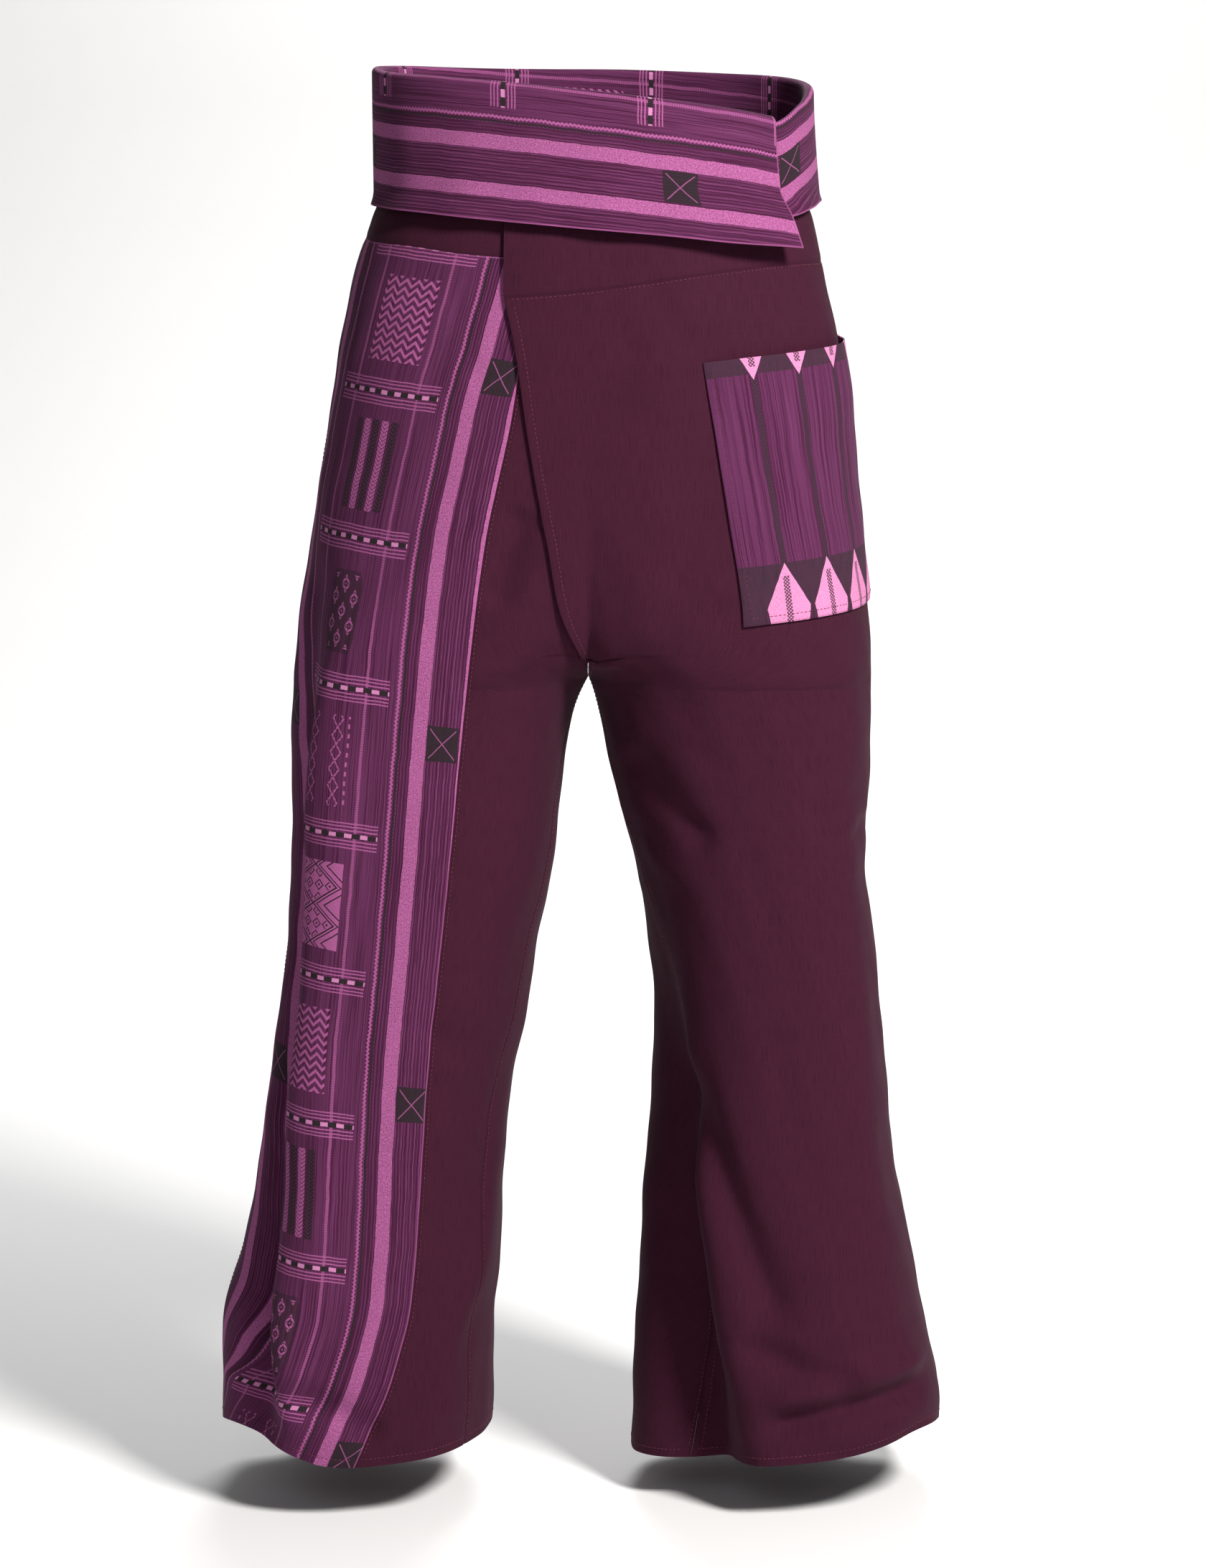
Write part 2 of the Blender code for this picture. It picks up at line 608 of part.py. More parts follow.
def build_pocket():
    """Patch pocket on the outer side of the left leg, open at the top."""
    across, down = np.linspace(0, 1, 16)[None, :], np.linspace(0, 1, 9)[:, None]
    corners = np.array([pocket_top_front, pocket_low_front])
    front_edge = along_at_x(left, corners[:, 0], corners[:, 1])
    along = front_edge[0] + (front_edge[1] - front_edge[0]) * down + pocket_width * across
    z = corners[0, 1] + (corners[1, 1] - corners[0, 1]) * down + pocket_rise * across
    mouth = pocket_mouth * smooth_step(1 - down / 0.5) * np.sin(math.pi * across)
    lift = pocket_lift + pocket_wall + mouth
    outer, normals = cloth_with_normals(left, along, z, lift)
    wall_mesh("pocket", outer, normals, pocket_wall, "woven")


def ring_point(turn, z):
    """A point of the waist's plain outline, and the level direction out of it."""
    turn, z = np.broadcast_arrays(np.asarray(turn, float), np.asarray(z, float))

    def place(t):
        t = t % 1.0
        on_left = t <= 0.5
        a = outline_point(left, t * 2 * arc_length(left, z), z)
        b = outline_point(right, (1 - t) * 2 * arc_length(right, z), z)
        return np.where(on_left[..., None], a, b)

    here = place(turn)
    step = 0.004
    along = place(turn + step) - place(turn - step)
    out = np.stack([along[..., 1], -along[..., 0], np.zeros(turn.shape)], axis=-1)
    return here, out / np.linalg.norm(out, axis=-1, keepdims=True)


def ring_turns(start, end, over_count, round_count):
    """Turns of the waist's sections. Where two layers lie on each other both have the same."""
    overlap = np.linspace(start, end - 1, over_count)
    between = np.linspace(end - 1, start + 1, round_count)
    return np.concatenate([overlap, between[1:-1], overlap + 1])


def layer_lift(turn, end):
    """The outer layer at the start comes down to the inner one once the overlap has ended."""
    return wrap_lift * smooth_step((end - 1 + 0.085 - turn) / 0.07)


def swept_wall(name, turns, middles, thickness, colour):
    """Sweeps a wall round the waist. Each middle line holds offsets from the outline and heights."""
    rings = []
    for turn, line in zip(turns, middles):
        run = np.gradient(line, axis=0)
        side_way = np.stack([run[:, 1], -run[:, 0]], axis=-1)
        side_way /= np.linalg.norm(side_way, axis=1, keepdims=True)
        ring = np.concatenate([line + side_way * thickness / 2,
                               (line - side_way * thickness / 2)[::-1]])
        here, out = ring_point(np.full(len(ring), turn), ring[:, 1])
        rings.append(here + out * ring[:, :1])
    return np.array(rings)


def yoke_columns():
    """Sides and lengths of cloth along the yoke's seam, from the outer front end round the back
    to the hidden end. They are the legs' own, so that the pieces stay parallel."""
    along, z = leg_grid(left, left_leg_edges, left_leg_counts)
    runs = [(left, along[0], z[0])]
    for name, colour, counts, edges in reversed(right_panels):
        along, z = leg_grid(right, edges, counts)
        skip = 0 if name == "right_back" else 1
        runs.append((right, along[0][::-1][skip:], z[0][::-1][skip:]))
    return runs


def build_yoke():
    """Dark yoke: a wide tube wrapped over itself in front, from the hidden seam to the legs."""
    outer, normals = [], []
    for side, along, seam in yoke_columns():
        rows = np.linspace(0, 1, 4)[:, None]
        z = (band_join_z - seam_gap) * (1 - rows) + (seam + seam_gap) * rows
        scaled = along * np.where(along > 0, arc_length(side, z) / arc_length(side, seam), 1.0)
        lift = front_lift(scaled, z) if side == left else 0.0
        points, outward = cloth_with_normals(side, scaled, z, lift)
        outer.append(points)
        normals.append(outward)
    wall_mesh("yoke", np.hstack(outer), np.hstack(normals), wall, "dark")


def band_middle(turn):
    """Middle line of the waistband at a turn: up the waist, over the fold and down to its edge."""
    top, edge, stand = (curve(turn, waist["turn"], waist[name])
                        for name in ("top", "edge", "stand"))
    inside = layer_lift(turn, band_end) - wall / 2
    wrapped = smooth_step((turn - (band_start + 1 - 0.12)) / 0.10)
    outside = band_top_out + (band_top_out_wrapped - band_top_out) * wrapped - wall / 2
    radius = (outside - inside) / 2
    turn_z = top - radius - wall / 2
    rise = np.linspace(band_join_z, turn_z, 3)
    fold = np.radians(np.linspace(180, 0, 5))
    fall = np.linspace(turn_z, edge, 5)[1:]
    share = (turn_z - fall) / (turn_z - edge)
    flare = outside + (stand - wall / 2 - outside) * share**1.4
    return np.concatenate([
        np.stack([np.full(2, inside), rise[:2]], axis=-1),
        np.stack([(inside + outside) / 2 + radius * np.cos(fold),
                  turn_z + radius * np.sin(fold)], axis=-1),
        np.stack([flare, fall], axis=-1)])


def build_waistband():
    turns = ring_turns(band_start, band_end, 12, 40)
    middles = [band_middle(turn) for turn in turns]
    swept = swept_wall("waistband", turns, middles, wall, "woven")
    swept_mesh("waistband", swept, "woven")


def build_tie():
    """Flat tie round the waist, beneath the folded band."""
    turns = np.concatenate([np.linspace(band_start, band_end - 1, 12),
                            np.linspace(band_end - 1, band_start + 1, 40)[1:-1]])
    middles = []
    for turn in turns:
        step_down = smooth_step((band_start + 1 - turn) / 0.035)
        lift = layer_lift(turn, band_end) + wrap_lift * (1 - step_down)
        offset = lift + tie_lift + tie_wall / 2
        z = np.linspace(tie_z - tie_height / 2, tie_z + tie_height / 2, 2)
        middles.append(np.stack([np.full(2, offset), z], axis=-1))
    swept = swept_wall("waist_tie", turns, middles, tie_wall, "dark")
    swept_mesh("waist_tie", swept, "dark", closed=True)


def main():
    for old in list(bpy.data.objects):
        bpy.data.objects.remove(old)
    build_waistband()
    build_tie()
    build_yoke()
    build_right_leg()
    build_left_leg()
    build_pocket()


main()
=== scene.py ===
import math

import bpy
import numpy as np
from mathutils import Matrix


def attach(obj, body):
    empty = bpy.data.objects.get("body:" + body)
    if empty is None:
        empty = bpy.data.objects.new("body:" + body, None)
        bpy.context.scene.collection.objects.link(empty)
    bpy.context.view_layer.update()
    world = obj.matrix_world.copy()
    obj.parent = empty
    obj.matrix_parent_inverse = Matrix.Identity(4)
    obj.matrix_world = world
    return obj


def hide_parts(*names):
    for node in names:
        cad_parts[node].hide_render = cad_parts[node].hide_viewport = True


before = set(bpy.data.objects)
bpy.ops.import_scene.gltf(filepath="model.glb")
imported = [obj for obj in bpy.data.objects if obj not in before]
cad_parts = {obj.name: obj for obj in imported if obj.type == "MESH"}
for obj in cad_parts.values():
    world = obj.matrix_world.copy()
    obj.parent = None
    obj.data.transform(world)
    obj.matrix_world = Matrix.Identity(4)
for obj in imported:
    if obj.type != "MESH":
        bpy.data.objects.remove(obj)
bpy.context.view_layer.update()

print("frame loaded")

# Driving dimensions
wall = 0.0015  # thickness of the cloth wall
innerSquare = 2.2  # squareness of a leg's inner side
seamGap = 0.00004  # between two pieces at a seam
halfGap = 0.0002  # each leg keeps this far from the middle plane
crotchZ = -0.404
wrapStart = -0.380  # the two fronts lie on each other above this height
wrapLift = 0.0034  # how far the outer front lies above the inner one
stripWidth = 0.211  # the woven strip down the right leg
pocketLift = 0.0016  # from the leg to the back of the pocket
pocketWall = 0.0015
tieHeight = 0.024
tieWall = 0.0012
tieLift = 0.0004
bandJoinZ = -0.036  # hidden seam between the turned-down band and the yoke

right, left = -1, 1

# Cross-sections of the halves, from the waist down. A section is a superellipse round a leg's own
# centre: how far each side reaches outwards from the middle plane, where its centre is, the depth
# in front and behind, and how square the corners are. Above the crotch the two halves are cut by
# the middle plane, where they meet.
sectionColumns = ("z", "outerRight", "outerLeft", "centreRight", "centreLeft", "front", "back",
                  "square")
sectionRows = (
    (0.060, 0.154, 0.161, 0.0000, 0.0000, 0.103, 0.114, 2.2),
    (-0.040, 0.154, 0.161, 0.0000, 0.0000, 0.103, 0.114, 2.2),
    (-0.062, 0.161, 0.168, 0.0000, 0.0000, 0.107, 0.119, 2.3),
    (-0.090, 0.172, 0.174, 0.0000, 0.0000, 0.112, 0.126, 2.3),
    (-0.150, 0.185, 0.187, 0.0080, 0.0080, 0.119, 0.136, 2.4),
    (-0.210, 0.195, 0.196, 0.0200, 0.0200, 0.123, 0.141, 2.4),
    (-0.270, 0.204, 0.201, 0.0340, 0.0340, 0.125, 0.141, 2.5),
    (-0.330, 0.214, 0.208, 0.0580, 0.0580, 0.125, 0.137, 2.6),
    (-0.360, 0.218, 0.211, 0.0790, 0.0770, 0.124, 0.134, 2.7),
    (-0.385, 0.220, 0.212, 0.0970, 0.0940, 0.123, 0.131, 2.8),
    (-0.404, 0.222, 0.213, 0.1110, 0.1065, 0.122, 0.129, 2.8),
    (-0.450, 0.224, 0.213, 0.1200, 0.1125, 0.120, 0.126, 2.9),
    (-0.540, 0.225, 0.209, 0.1255, 0.1210, 0.117, 0.122, 3.0),
    (-0.600, 0.229, 0.216, 0.1335, 0.1295, 0.115, 0.120, 3.0),
    (-0.660, 0.236, 0.222, 0.1415, 0.1350, 0.114, 0.120, 3.0),
    (-0.720, 0.245, 0.227, 0.1520, 0.1370, 0.113, 0.121, 3.0),
    (-0.780, 0.252, 0.234, 0.1585, 0.1380, 0.113, 0.123, 2.9),
    (-0.840, 0.265, 0.247, 0.1660, 0.1430, 0.115, 0.125, 2.8),
    (-0.900, 0.280, 0.258, 0.1765, 0.1470, 0.118, 0.127, 2.7),
    (-0.960, 0.281, 0.270, 0.1775, 0.1515, 0.120, 0.128, 2.6),
    (-1.020, 0.280, 0.270, 0.1790, 0.1510, 0.121, 0.128, 2.6),
)

# Long folds that run down a leg. The angle is round the leg's centre, in degrees: -90 is the
# front, 0 the outer side, 90 the back and 180 the inner side. Depth is outwards, so a trough is
# negative. Each fold has one width, in degrees.
foldColumns = ("z", "angle", "depth")
longFolds = (
    # right leg, the pressed ridge down the strip and the deep trough beside it
    (right, 9, ((-0.30, -58, 0.0), (-0.45, -55, 0.004), (-0.66, -58, 0.006),
                (-0.80, -64, 0.009), (-0.92, -67, 0.007), (-0.99, -66, 0.0))),
    (right, 15, ((-0.50, -38, 0.0), (-0.62, -38, -0.008), (-0.74, -42, -0.020),
                 (-0.86, -46, -0.034), (-0.94, -47, -0.022), (-0.99, -46, -0.006))),
    # right leg, soft ridge inside the shin
    (right, 12, ((-0.70, -165, 0.0), (-0.82, -148, 0.005), (-0.91, -130, 0.007),
                 (-0.99, -125, 0.003))),
    # left leg, the deep trough at the inner front and the ridge beside it
    (left, 12, ((-0.56, -146, 0.0), (-0.68, -136, 0.003), (-0.80, -124, 0.006),
                (-0.90, -113, 0.006), (-0.99, -100, 0.005))),
    (left, 19, ((-0.56, -166, 0.0), (-0.68, -157, -0.009), (-0.80, -147, -0.018),
                (-0.90, -139, -0.026), (-0.99, -129, -0.027))),
    # left leg, the pressed crease at the outer front
    (left, 9, ((-0.36, -46, 0.0), (-0.50, -45, 0.003), (-0.80, -46, 0.003), (-0.93, -46, 0.0))),
    # behind both legs
    (right, 13, ((-0.42, 92, 0.0), (-0.58, 98, -0.010), (-0.80, 112, -0.018), (-1.0, 118, -0.016))),
    (right, 12, ((-0.55, 62, 0.0), (-0.72, 66, 0.006), (-0.90, 70, 0.012), (-1.0, 72, 0.012))),
    (left, 13, ((-0.45, 80, 0.0), (-0.62, 74, -0.010), (-0.82, 66, -0.020), (-1.0, 60, -0.018))),
    (left, 12, ((-0.55, 112, 0.0), (-0.75, 116, 0.007), (-0.90, 122, 0.012), (-1.0, 126, 0.010))),
)

# Shorter folds across the front of a leg, from one end to the other, as distance from the middle
# plane and height, with a half width and a depth.
crossColumns = ("x0", "z0", "x1", "z1", "width", "depth")
crossFolds = {
    right: (
        (0.045, -0.270, 0.070, -0.345, 0.014, -0.005),
        (0.225, -0.925, 0.150, -0.965, 0.012, -0.006),
    ),
    left: (
        (0.058, -0.680, 0.150, -0.890, 0.016, -0.010),
        (0.112, -0.893, 0.205, -0.928, 0.013, -0.007),
        (0.128, -0.956, 0.258, -0.930, 0.009, -0.010),
        (0.130, -0.936, 0.258, -0.910, 0.010, 0.007),
        (0.030, -0.450, 0.090, -0.530, 0.014, -0.005),
    ),
}

# The wrap: how far the outer front reaches over the right half, as a distance from the middle
# plane, and how far the inner front goes on beneath it, as a length of cloth.
wrapColumns = ("z", "over", "under")
wrapRows = (
    (-0.385, 0.000, 0.000),
    (-0.375, 0.007, 0.007),
    (-0.345, 0.021, 0.016),
    (-0.300, 0.029, 0.024),
    (-0.230, 0.042, 0.036),
    (-0.160, 0.052, 0.046),
    (-0.095, 0.066, 0.052),
    (-0.030, 0.080, 0.056),
)

# Where the woven strip's front edge crosses the front of the right leg.
stripColumns = ("z", "x")
stripRows = (
    (-0.99, 0.176), (-0.92, 0.146), (-0.86, 0.131), (-0.70, 0.119), (-0.55, 0.103),
    (-0.40, 0.088), (-0.30, 0.075), (-0.20, 0.054), (-0.07, 0.036),
)

# How far the inseam has swung forwards of the inner side.
inseamColumns = ("z", "forward")
inseamRows = ((-1.0, 0.080), (-0.75, 0.070), (-0.55, 0.042), (-0.46, 0.024), (-0.404, 0.0))

# Heights round the waist. A turn is 0 at the middle of the front, 0.25 at the left side, 0.5
# behind and 0.75 at the right side. Below 0 and above 1 two layers lie on each other.
# The top fold, the band's lower edge, how far that edge stands off, and the yoke's lower seam.
waistColumns = ("turn", "top", "edge", "stand", "seam")
waistRows = (
    (-0.09, 0.002, -0.056, 0.0072, -0.122),
    (0.00, 0.003, -0.060, 0.0072, -0.115),
    (0.06, 0.003, -0.062, 0.0072, -0.107),
    (0.11, 0.004, -0.063, 0.0072, -0.100),
    (0.16, 0.007, -0.062, 0.0072, -0.095),
    (0.20, 0.022, -0.054, 0.0100, -0.093),
    (0.25, 0.038, -0.047, 0.0125, -0.092),
    (0.35, 0.050, -0.046, 0.0070, -0.088),
    (0.50, 0.056, -0.048, 0.0070, -0.085),
    (0.65, 0.056, -0.049, 0.0065, -0.079),
    (0.75, 0.052, -0.049, 0.0060, -0.074),
    (0.80, 0.046, -0.053, 0.0075, -0.078),
    (0.86, 0.041, -0.058, 0.0095, -0.083),
    (0.91, 0.037, -0.063, 0.0120, -0.089),
    (1.00, 0.029, -0.071, 0.0145, -0.094),
    (1.06, 0.023, -0.076, 0.0165, -0.097),
    (1.11, 0.018, -0.081, 0.0190, -0.098),
    (1.16, 0.012, -0.084, 0.0220, -0.099),
)
bandStart, bandEnd = -0.09, 1.16
bandTopOut = 0.0070  # outside of the inner flap, from the waist's own outline
bandTopOutWrapped = 0.0092  # the same for the outer flap
tieZ = -0.019

# Height of the hem round each leg. The share is 0 inside, 0.25 in front, 0.5 outside, 0.75 behind.
hemColumns = ("share", "z")
hemRows = {
    right: ((0.0, -0.978), (0.12, -0.980), (0.25, -0.986), (0.33, -0.973), (0.40, -0.966),
            (0.48, -0.974), (0.60, -0.986), (0.75, -1.000), (0.88, -0.994), (1.0, -0.978)),
    left: ((0.0, -1.000), (0.10, -0.994), (0.22, -0.985), (0.30, -0.979), (0.40, -0.966),
           (0.48, -0.974), (0.60, -0.986), (0.75, -1.000), (0.90, -1.006), (1.0, -1.000)),
}

# Corners of the pocket on the left leg: distance from the middle plane in front, and height.
pocketTopFront = (0.083, -0.167)
pocketLowFront = (0.113, -0.358)
pocketWidth = 0.200
pocketRise = 0.020  # the back corners are this much higher
pocketMouth = 0.0030  # the open top edge stands this much further off

# Heights of a leg's rows, at the middle plane or the inseam and round the rest of the leg. Just
# above the crotch the rows fan out from the curve on which the two halves meet.
levelColumns = ("middle", "round")
levelRows = (
    (-0.100, -0.100), (-0.125, -0.125), (-0.160, -0.160), (-0.200, -0.200), (-0.245, -0.243),
    (-0.290, -0.286), (-0.325, -0.321), (-0.350, -0.344), (-0.375, -0.365), (-0.385, -0.381),
    (-0.393, -0.395), (-0.399, -0.408), (-0.4025, -0.420), (-0.404, -0.432), (-0.418, -0.445),
    (-0.440, -0.461), (-0.480, -0.490), (-0.530, -0.533), (-0.580, -0.580), (-0.630, -0.630),
    (-0.680, -0.680), (-0.730, -0.730), (-0.780, -0.780), (-0.825, -0.825), (-0.865, -0.865),
    (-0.900, -0.900), (-0.930, -0.930), (-0.960, -0.960), (-0.990, -0.990),
)
topRows, hemBlendRows = 3, 4
rowStep = 0.0042  # two rows of a leg's points are never further apart


def table(columns, rows):
    # named columns of a table, with its rows in rising order of the first column
    values = np.array(sorted(rows), float)
    return dict(zip(columns, values.T))


def curve(x, knots, heights):
    # a smooth curve through the table's points that never overshoots them
    step = np.diff(knots)
    slope = np.diff(heights) / step
    middle = np.where(slope[1:] * slope[:-1] > 0,
                      2 * slope[1:] * slope[:-1] / (slope[1:] + slope[:-1] + 1e-30), 0.0)
    tangent = np.concatenate([slope[:1], middle, slope[-1:]])
    x = np.clip(x, knots[0], knots[-1])
    i = np.clip(np.searchsorted(knots, x, side="right") - 1, 0, len(step) - 1)
    t = (x - knots[i]) / step[i]
    return ((2 * t**3 - 3 * t**2 + 1) * heights[i] + (t**3 - 2 * t**2 + t) * step[i] * tangent[i]
            + (3 * t**2 - 2 * t**3) * heights[i + 1] + (t**3 - t**2) * step[i] * tangent[i + 1])


def smoothStep(x):
    x = np.clip(x, 0.0, 1.0)
    return x * x * (3 - 2 * x)


sections = table(sectionColumns, sectionRows)
wrap = table(wrapColumns, wrapRows)
strip = table(stripColumns, stripRows)
inseam = table(inseamColumns, inseamRows)
waist = table(waistColumns, waistRows)
hems = {side: table(hemColumns, rows) for side, rows in hemRows.items()}


def fineRows(step):
    # places between the rows of the table, close enough that no two are further than step apart
    gaps = np.abs(np.diff(np.array(levelRows), axis=0)).max(axis=1)
    parts = [np.arange(count) / count + row for row, count in enumerate(np.ceil(gaps / step))]
    return np.concatenate(parts + [[len(gaps)]])


rowPlaces = fineRows(rowStep)
levels = {name: np.interp(rowPlaces, range(len(levelRows)), column)
          for name, column in zip(levelColumns, np.array(levelRows).T)}


def section(side, z):
    # reach, centre, depths and squareness of one half at a height, and the angle it is cut at
    own = "Right" if side == right else "Left"
    outer, centre, front, back, square = (
        curve(z, sections["z"], sections[name])
        for name in ("outer" + own, "centre" + own, "front", "back", "square"))
    width = outer - centre
    share = np.clip(centre / width, 0.0, 1.0)
    share = np.where(z <= crotchZ, 1.0, share)
    cut = np.arctan2((1 - share**innerSquare) ** (1 / innerSquare), -share)
    return centre, width, front, back, square, cut


def onSection(side, angle, z):
    centre, width, front, back, square, _ = section(side, z)
    cos, sin = np.cos(angle), np.sin(angle)
    power = np.where(cos > 0, square, innerSquare)
    reach = (np.abs(cos)**power + np.abs(sin)**power) ** (-1 / power)
    x = side * (halfGap + np.maximum(centre + width * reach * cos, 0.0))
    y = np.where(sin < 0, front, back) * reach * sin
    return np.stack([x, y, np.broadcast_to(z, np.shape(x))], axis=-1)


# Where a length of cloth, measured round a section, puts an angle. The lengths are tabled on a
# grid of heights that is close-set above the crotch, where the sections change fastest.
heightGrid = np.unique(np.concatenate([
    np.linspace(-1.03, crotchZ, 70), crotchZ + 0.10 * np.linspace(0, 1, 40)**2,
    np.linspace(crotchZ + 0.10, 0.07, 40)]))
shareGrid = np.linspace(0, 1, 241)


def arcTables(side):
    turns, lengths, toSide = [], [], []
    steps = np.linspace(-1, 1, 1441)
    for z in heightGrid:
        cut = section(side, np.array(z))[-1]
        points = onSection(side, cut * steps, np.full(len(steps), z))
        run = np.concatenate([[0], np.cumsum(np.linalg.norm(np.diff(points, axis=0), axis=1))])
        turns.append(np.interp(shareGrid, run / run[-1], steps))
        lengths.append(run[-1])
        toSide.append(np.interp(0.0, steps, run))
    return np.array(turns), np.array(lengths), np.array(toSide)


arcs = {side: arcTables(side) for side in (right, left)}


def arcLength(side, z):
    # cloth from the middle of the front round the outer side to the middle of the back
    return np.interp(z, heightGrid, arcs[side][1])


def outerLine(side, z):
    # cloth from the middle of the front to the outermost line of the leg
    return np.interp(z, heightGrid, arcs[side][2])


def angleAt(side, along, z):
    turns = arcs[side][0]
    share = np.clip(along / arcLength(side, z), 0, 1)
    row = np.clip(np.searchsorted(heightGrid, z) - 1, 0, len(heightGrid) - 2)
    up = np.clip((z - heightGrid[row]) / (heightGrid[row + 1] - heightGrid[row]), 0, 1)
    column = np.minimum((share * (len(shareGrid) - 1)).astype(int), len(shareGrid) - 2)
    across = share * (len(shareGrid) - 1) - column
    low = turns[row, column] * (1 - across) + turns[row, column + 1] * across
    high = turns[row + 1, column] * (1 - across) + turns[row + 1, column + 1] * across
    return (low * (1 - up) + high * up) * section(side, z)[-1]


def place(side, along, z):
    # the half and the angle at a length of cloth from the middle of the front; below the crotch
    # a leg closes on itself, and above it the count runs on into the other half
    along, z = np.broadcast_arrays(np.asarray(along, float), np.asarray(z, float))
    length, other = arcLength(side, z), arcLength(-side, z)
    closed = z <= crotchZ
    angle = angleAt(side, np.where(closed, along % length, along), z)
    before, beyond = ~closed & (along < 0), ~closed & (along > length)
    angle = np.where(before, angleAt(-side, -along, z), angle)
    angle = np.where(beyond, angleAt(-side, other - (along - length), z), angle)
    return np.where(before | beyond, -side, side), angle


def surface(half, angle, z):
    here = [onSection(side, angle, z) for side in (right, left)]
    return np.where((half == right)[..., None], here[0], here[1])


def unit(vectors):
    return vectors / (np.linalg.norm(vectors, axis=-1, keepdims=True) + 1e-12)


def normalOf(shape, half, angle, z):
    turn, rise = 0.012, 0.0015
    across = shape(half, angle + turn, z) - shape(half, angle - turn, z)
    up = shape(half, angle, z + rise) - shape(half, angle, z - rise)
    return unit(half[..., None] * np.cross(across, up))


def outlinePoint(side, along, z):
    half, angle = place(side, along, z)
    return surface(half, angle, np.broadcast_to(z, half.shape))


def alongFold(fold, x, z):
    # share of the way along a short fold, how far points lie from it, and its length
    run = np.array([fold["x1"] - fold["x0"], fold["z1"] - fold["z0"]])
    dx, dz = x - fold["x0"], z - fold["z0"]
    share = np.clip((dx * run[0] + dz * run[1]) / (run @ run), 0, 1)
    return share, dx - share * run[0], dz - share * run[1], np.sqrt(run @ run)


def calmAtMiddle(depth, points, z):
    # folds die away towards the seam between the two halves, above the crotch
    middle = smoothStep(np.abs(points[..., 0]) / 0.03)
    return depth * (1 - (1 - middle) * smoothStep((z - crotchZ + 0.06) / 0.06))


def foldDepth(half, angle, z, points):
    # how far the cloth stands out of the plain section, from all the larger folds
    degrees = np.degrees(angle)
    depth = np.zeros(np.shape(z))
    for side, width, rows in longFolds:
        rows = table(foldColumns, rows)
        away = (degrees - curve(z, rows["z"], rows["angle"]) + 180) % 360 - 180
        swell = np.where(z > rows["z"][-1], 0.0, curve(z, rows["z"], rows["depth"]))
        depth += np.where(half == side, swell * np.exp(-(away / width)**2), 0.0)
    facing = smoothStep(-points[..., 1] / 0.06)
    for side, rows in crossFolds.items():
        for row in rows:
            fold = dict(zip(crossColumns, row))
            share, beside, above, _ = alongFold(fold, side * points[..., 0], z)
            ends = smoothStep(np.minimum(share, 1 - share) / 0.2 + 0.15)
            swell = np.exp(-(np.hypot(beside, above) / fold["width"])**2)
            depth += np.where(half == side, fold["depth"] * ends * facing * swell, 0.0)
    return calmAtMiddle(depth, points, z)


def folded(half, angle, z):
    points = surface(half, angle, z)
    outward = normalOf(surface, half, angle, z)
    sideways = unit(np.cross([0.0, 0.0, 1.0], outward)) * half[..., None]
    more, lean = leanFolds(half, angle, z)
    depth = foldDepth(half, angle, z, points) + softDepth(half, angle, z, points) + more
    return points + outward * depth[..., None] + sideways * lean[..., None]


def clothWithNormals(side, along, z, lift):
    # points of the cloth's outer face, and the outward normals there; near the middle plane the
    # two halves share their normals, so that a layer lies smoothly over both
    half, angle = place(side, along, z)
    z = np.broadcast_to(z, half.shape)
    points = folded(half, angle, z)
    normals = normalOf(folded, half, angle, z)
    shared = 1 - smoothStep(np.abs(points[..., 0]) / 0.035)
    normals[..., 0] *= 1 - shared * smoothStep((z - crotchZ) / 0.017)
    normals = unit(normals)
    return points + normals * np.broadcast_to(lift, half.shape)[..., None], normals


def overReach(z):
    return np.where(z > wrapStart, curve(z, wrap["z"], wrap["over"]), 0.0)


def underReach(z):
    return np.where(z > wrapStart, curve(z, wrap["z"], wrap["under"]), 0.0)


def inseamAt(z):
    return np.where(z <= crotchZ, curve(z, inseam["z"], inseam["forward"]), 0.0)


def alongAtX(side, x, z):
    # length of cloth, from the middle of the front, at which the front is x from the middle
    x, z = np.broadcast_arrays(np.asarray(x, float), np.asarray(z, float))
    tries = np.linspace(0, 0.5, 160) * arcLength(side, z.ravel())[:, None]
    reached = np.abs(outlinePoint(side, tries, z.ravel()[:, None])[..., 0])
    found = [np.interp(*row) for row in zip(x.ravel(), reached, tries)]
    return np.array(found).reshape(x.shape)


def yokeSeam(side, along, z):
    # height of the yoke's lower seam at a length of cloth round one half
    share = along / (2 * arcLength(side, z))
    turn = np.where(side == left, share, 1 - share)
    return curve(turn, waist["turn"], waist["seam"])


def legHeights(side, across):
    # heights of a leg's points, whose places are lengths of cloth from the outer side; the
    # first row follows the yoke's seam and the last one the hem
    count = len(levelRows)
    rows = rowPlaces[:, None]
    middle = levels["middle"][:, None]
    reach = np.where(across < 0, outerLine(side, middle),
                     arcLength(side, middle) - outerLine(side, middle))
    away = smoothStep((1 - np.abs(across) / reach) / 0.40)
    level = middle * (1 - away) + levels["round"][:, None] * away
    seam = level[:1]
    for _ in range(2):
        seam = yokeSeam(side, across[:1] + outerLine(side, seam), seam) - seamGap
    share = ((across[-1:] + outerLine(side, level[-1:])) / arcLength(side, level[-1:])) % 1.0
    hem = curve(share, hems[side]["share"], hems[side]["z"])
    topPull = np.clip(1 - rows / topRows, 0, 1)
    hemPull = smoothStep(1 - (count - 1 - rows) / hemBlendRows)
    return level + (seam - level[:1]) * topPull + (hem - level[-1:]) * hemPull


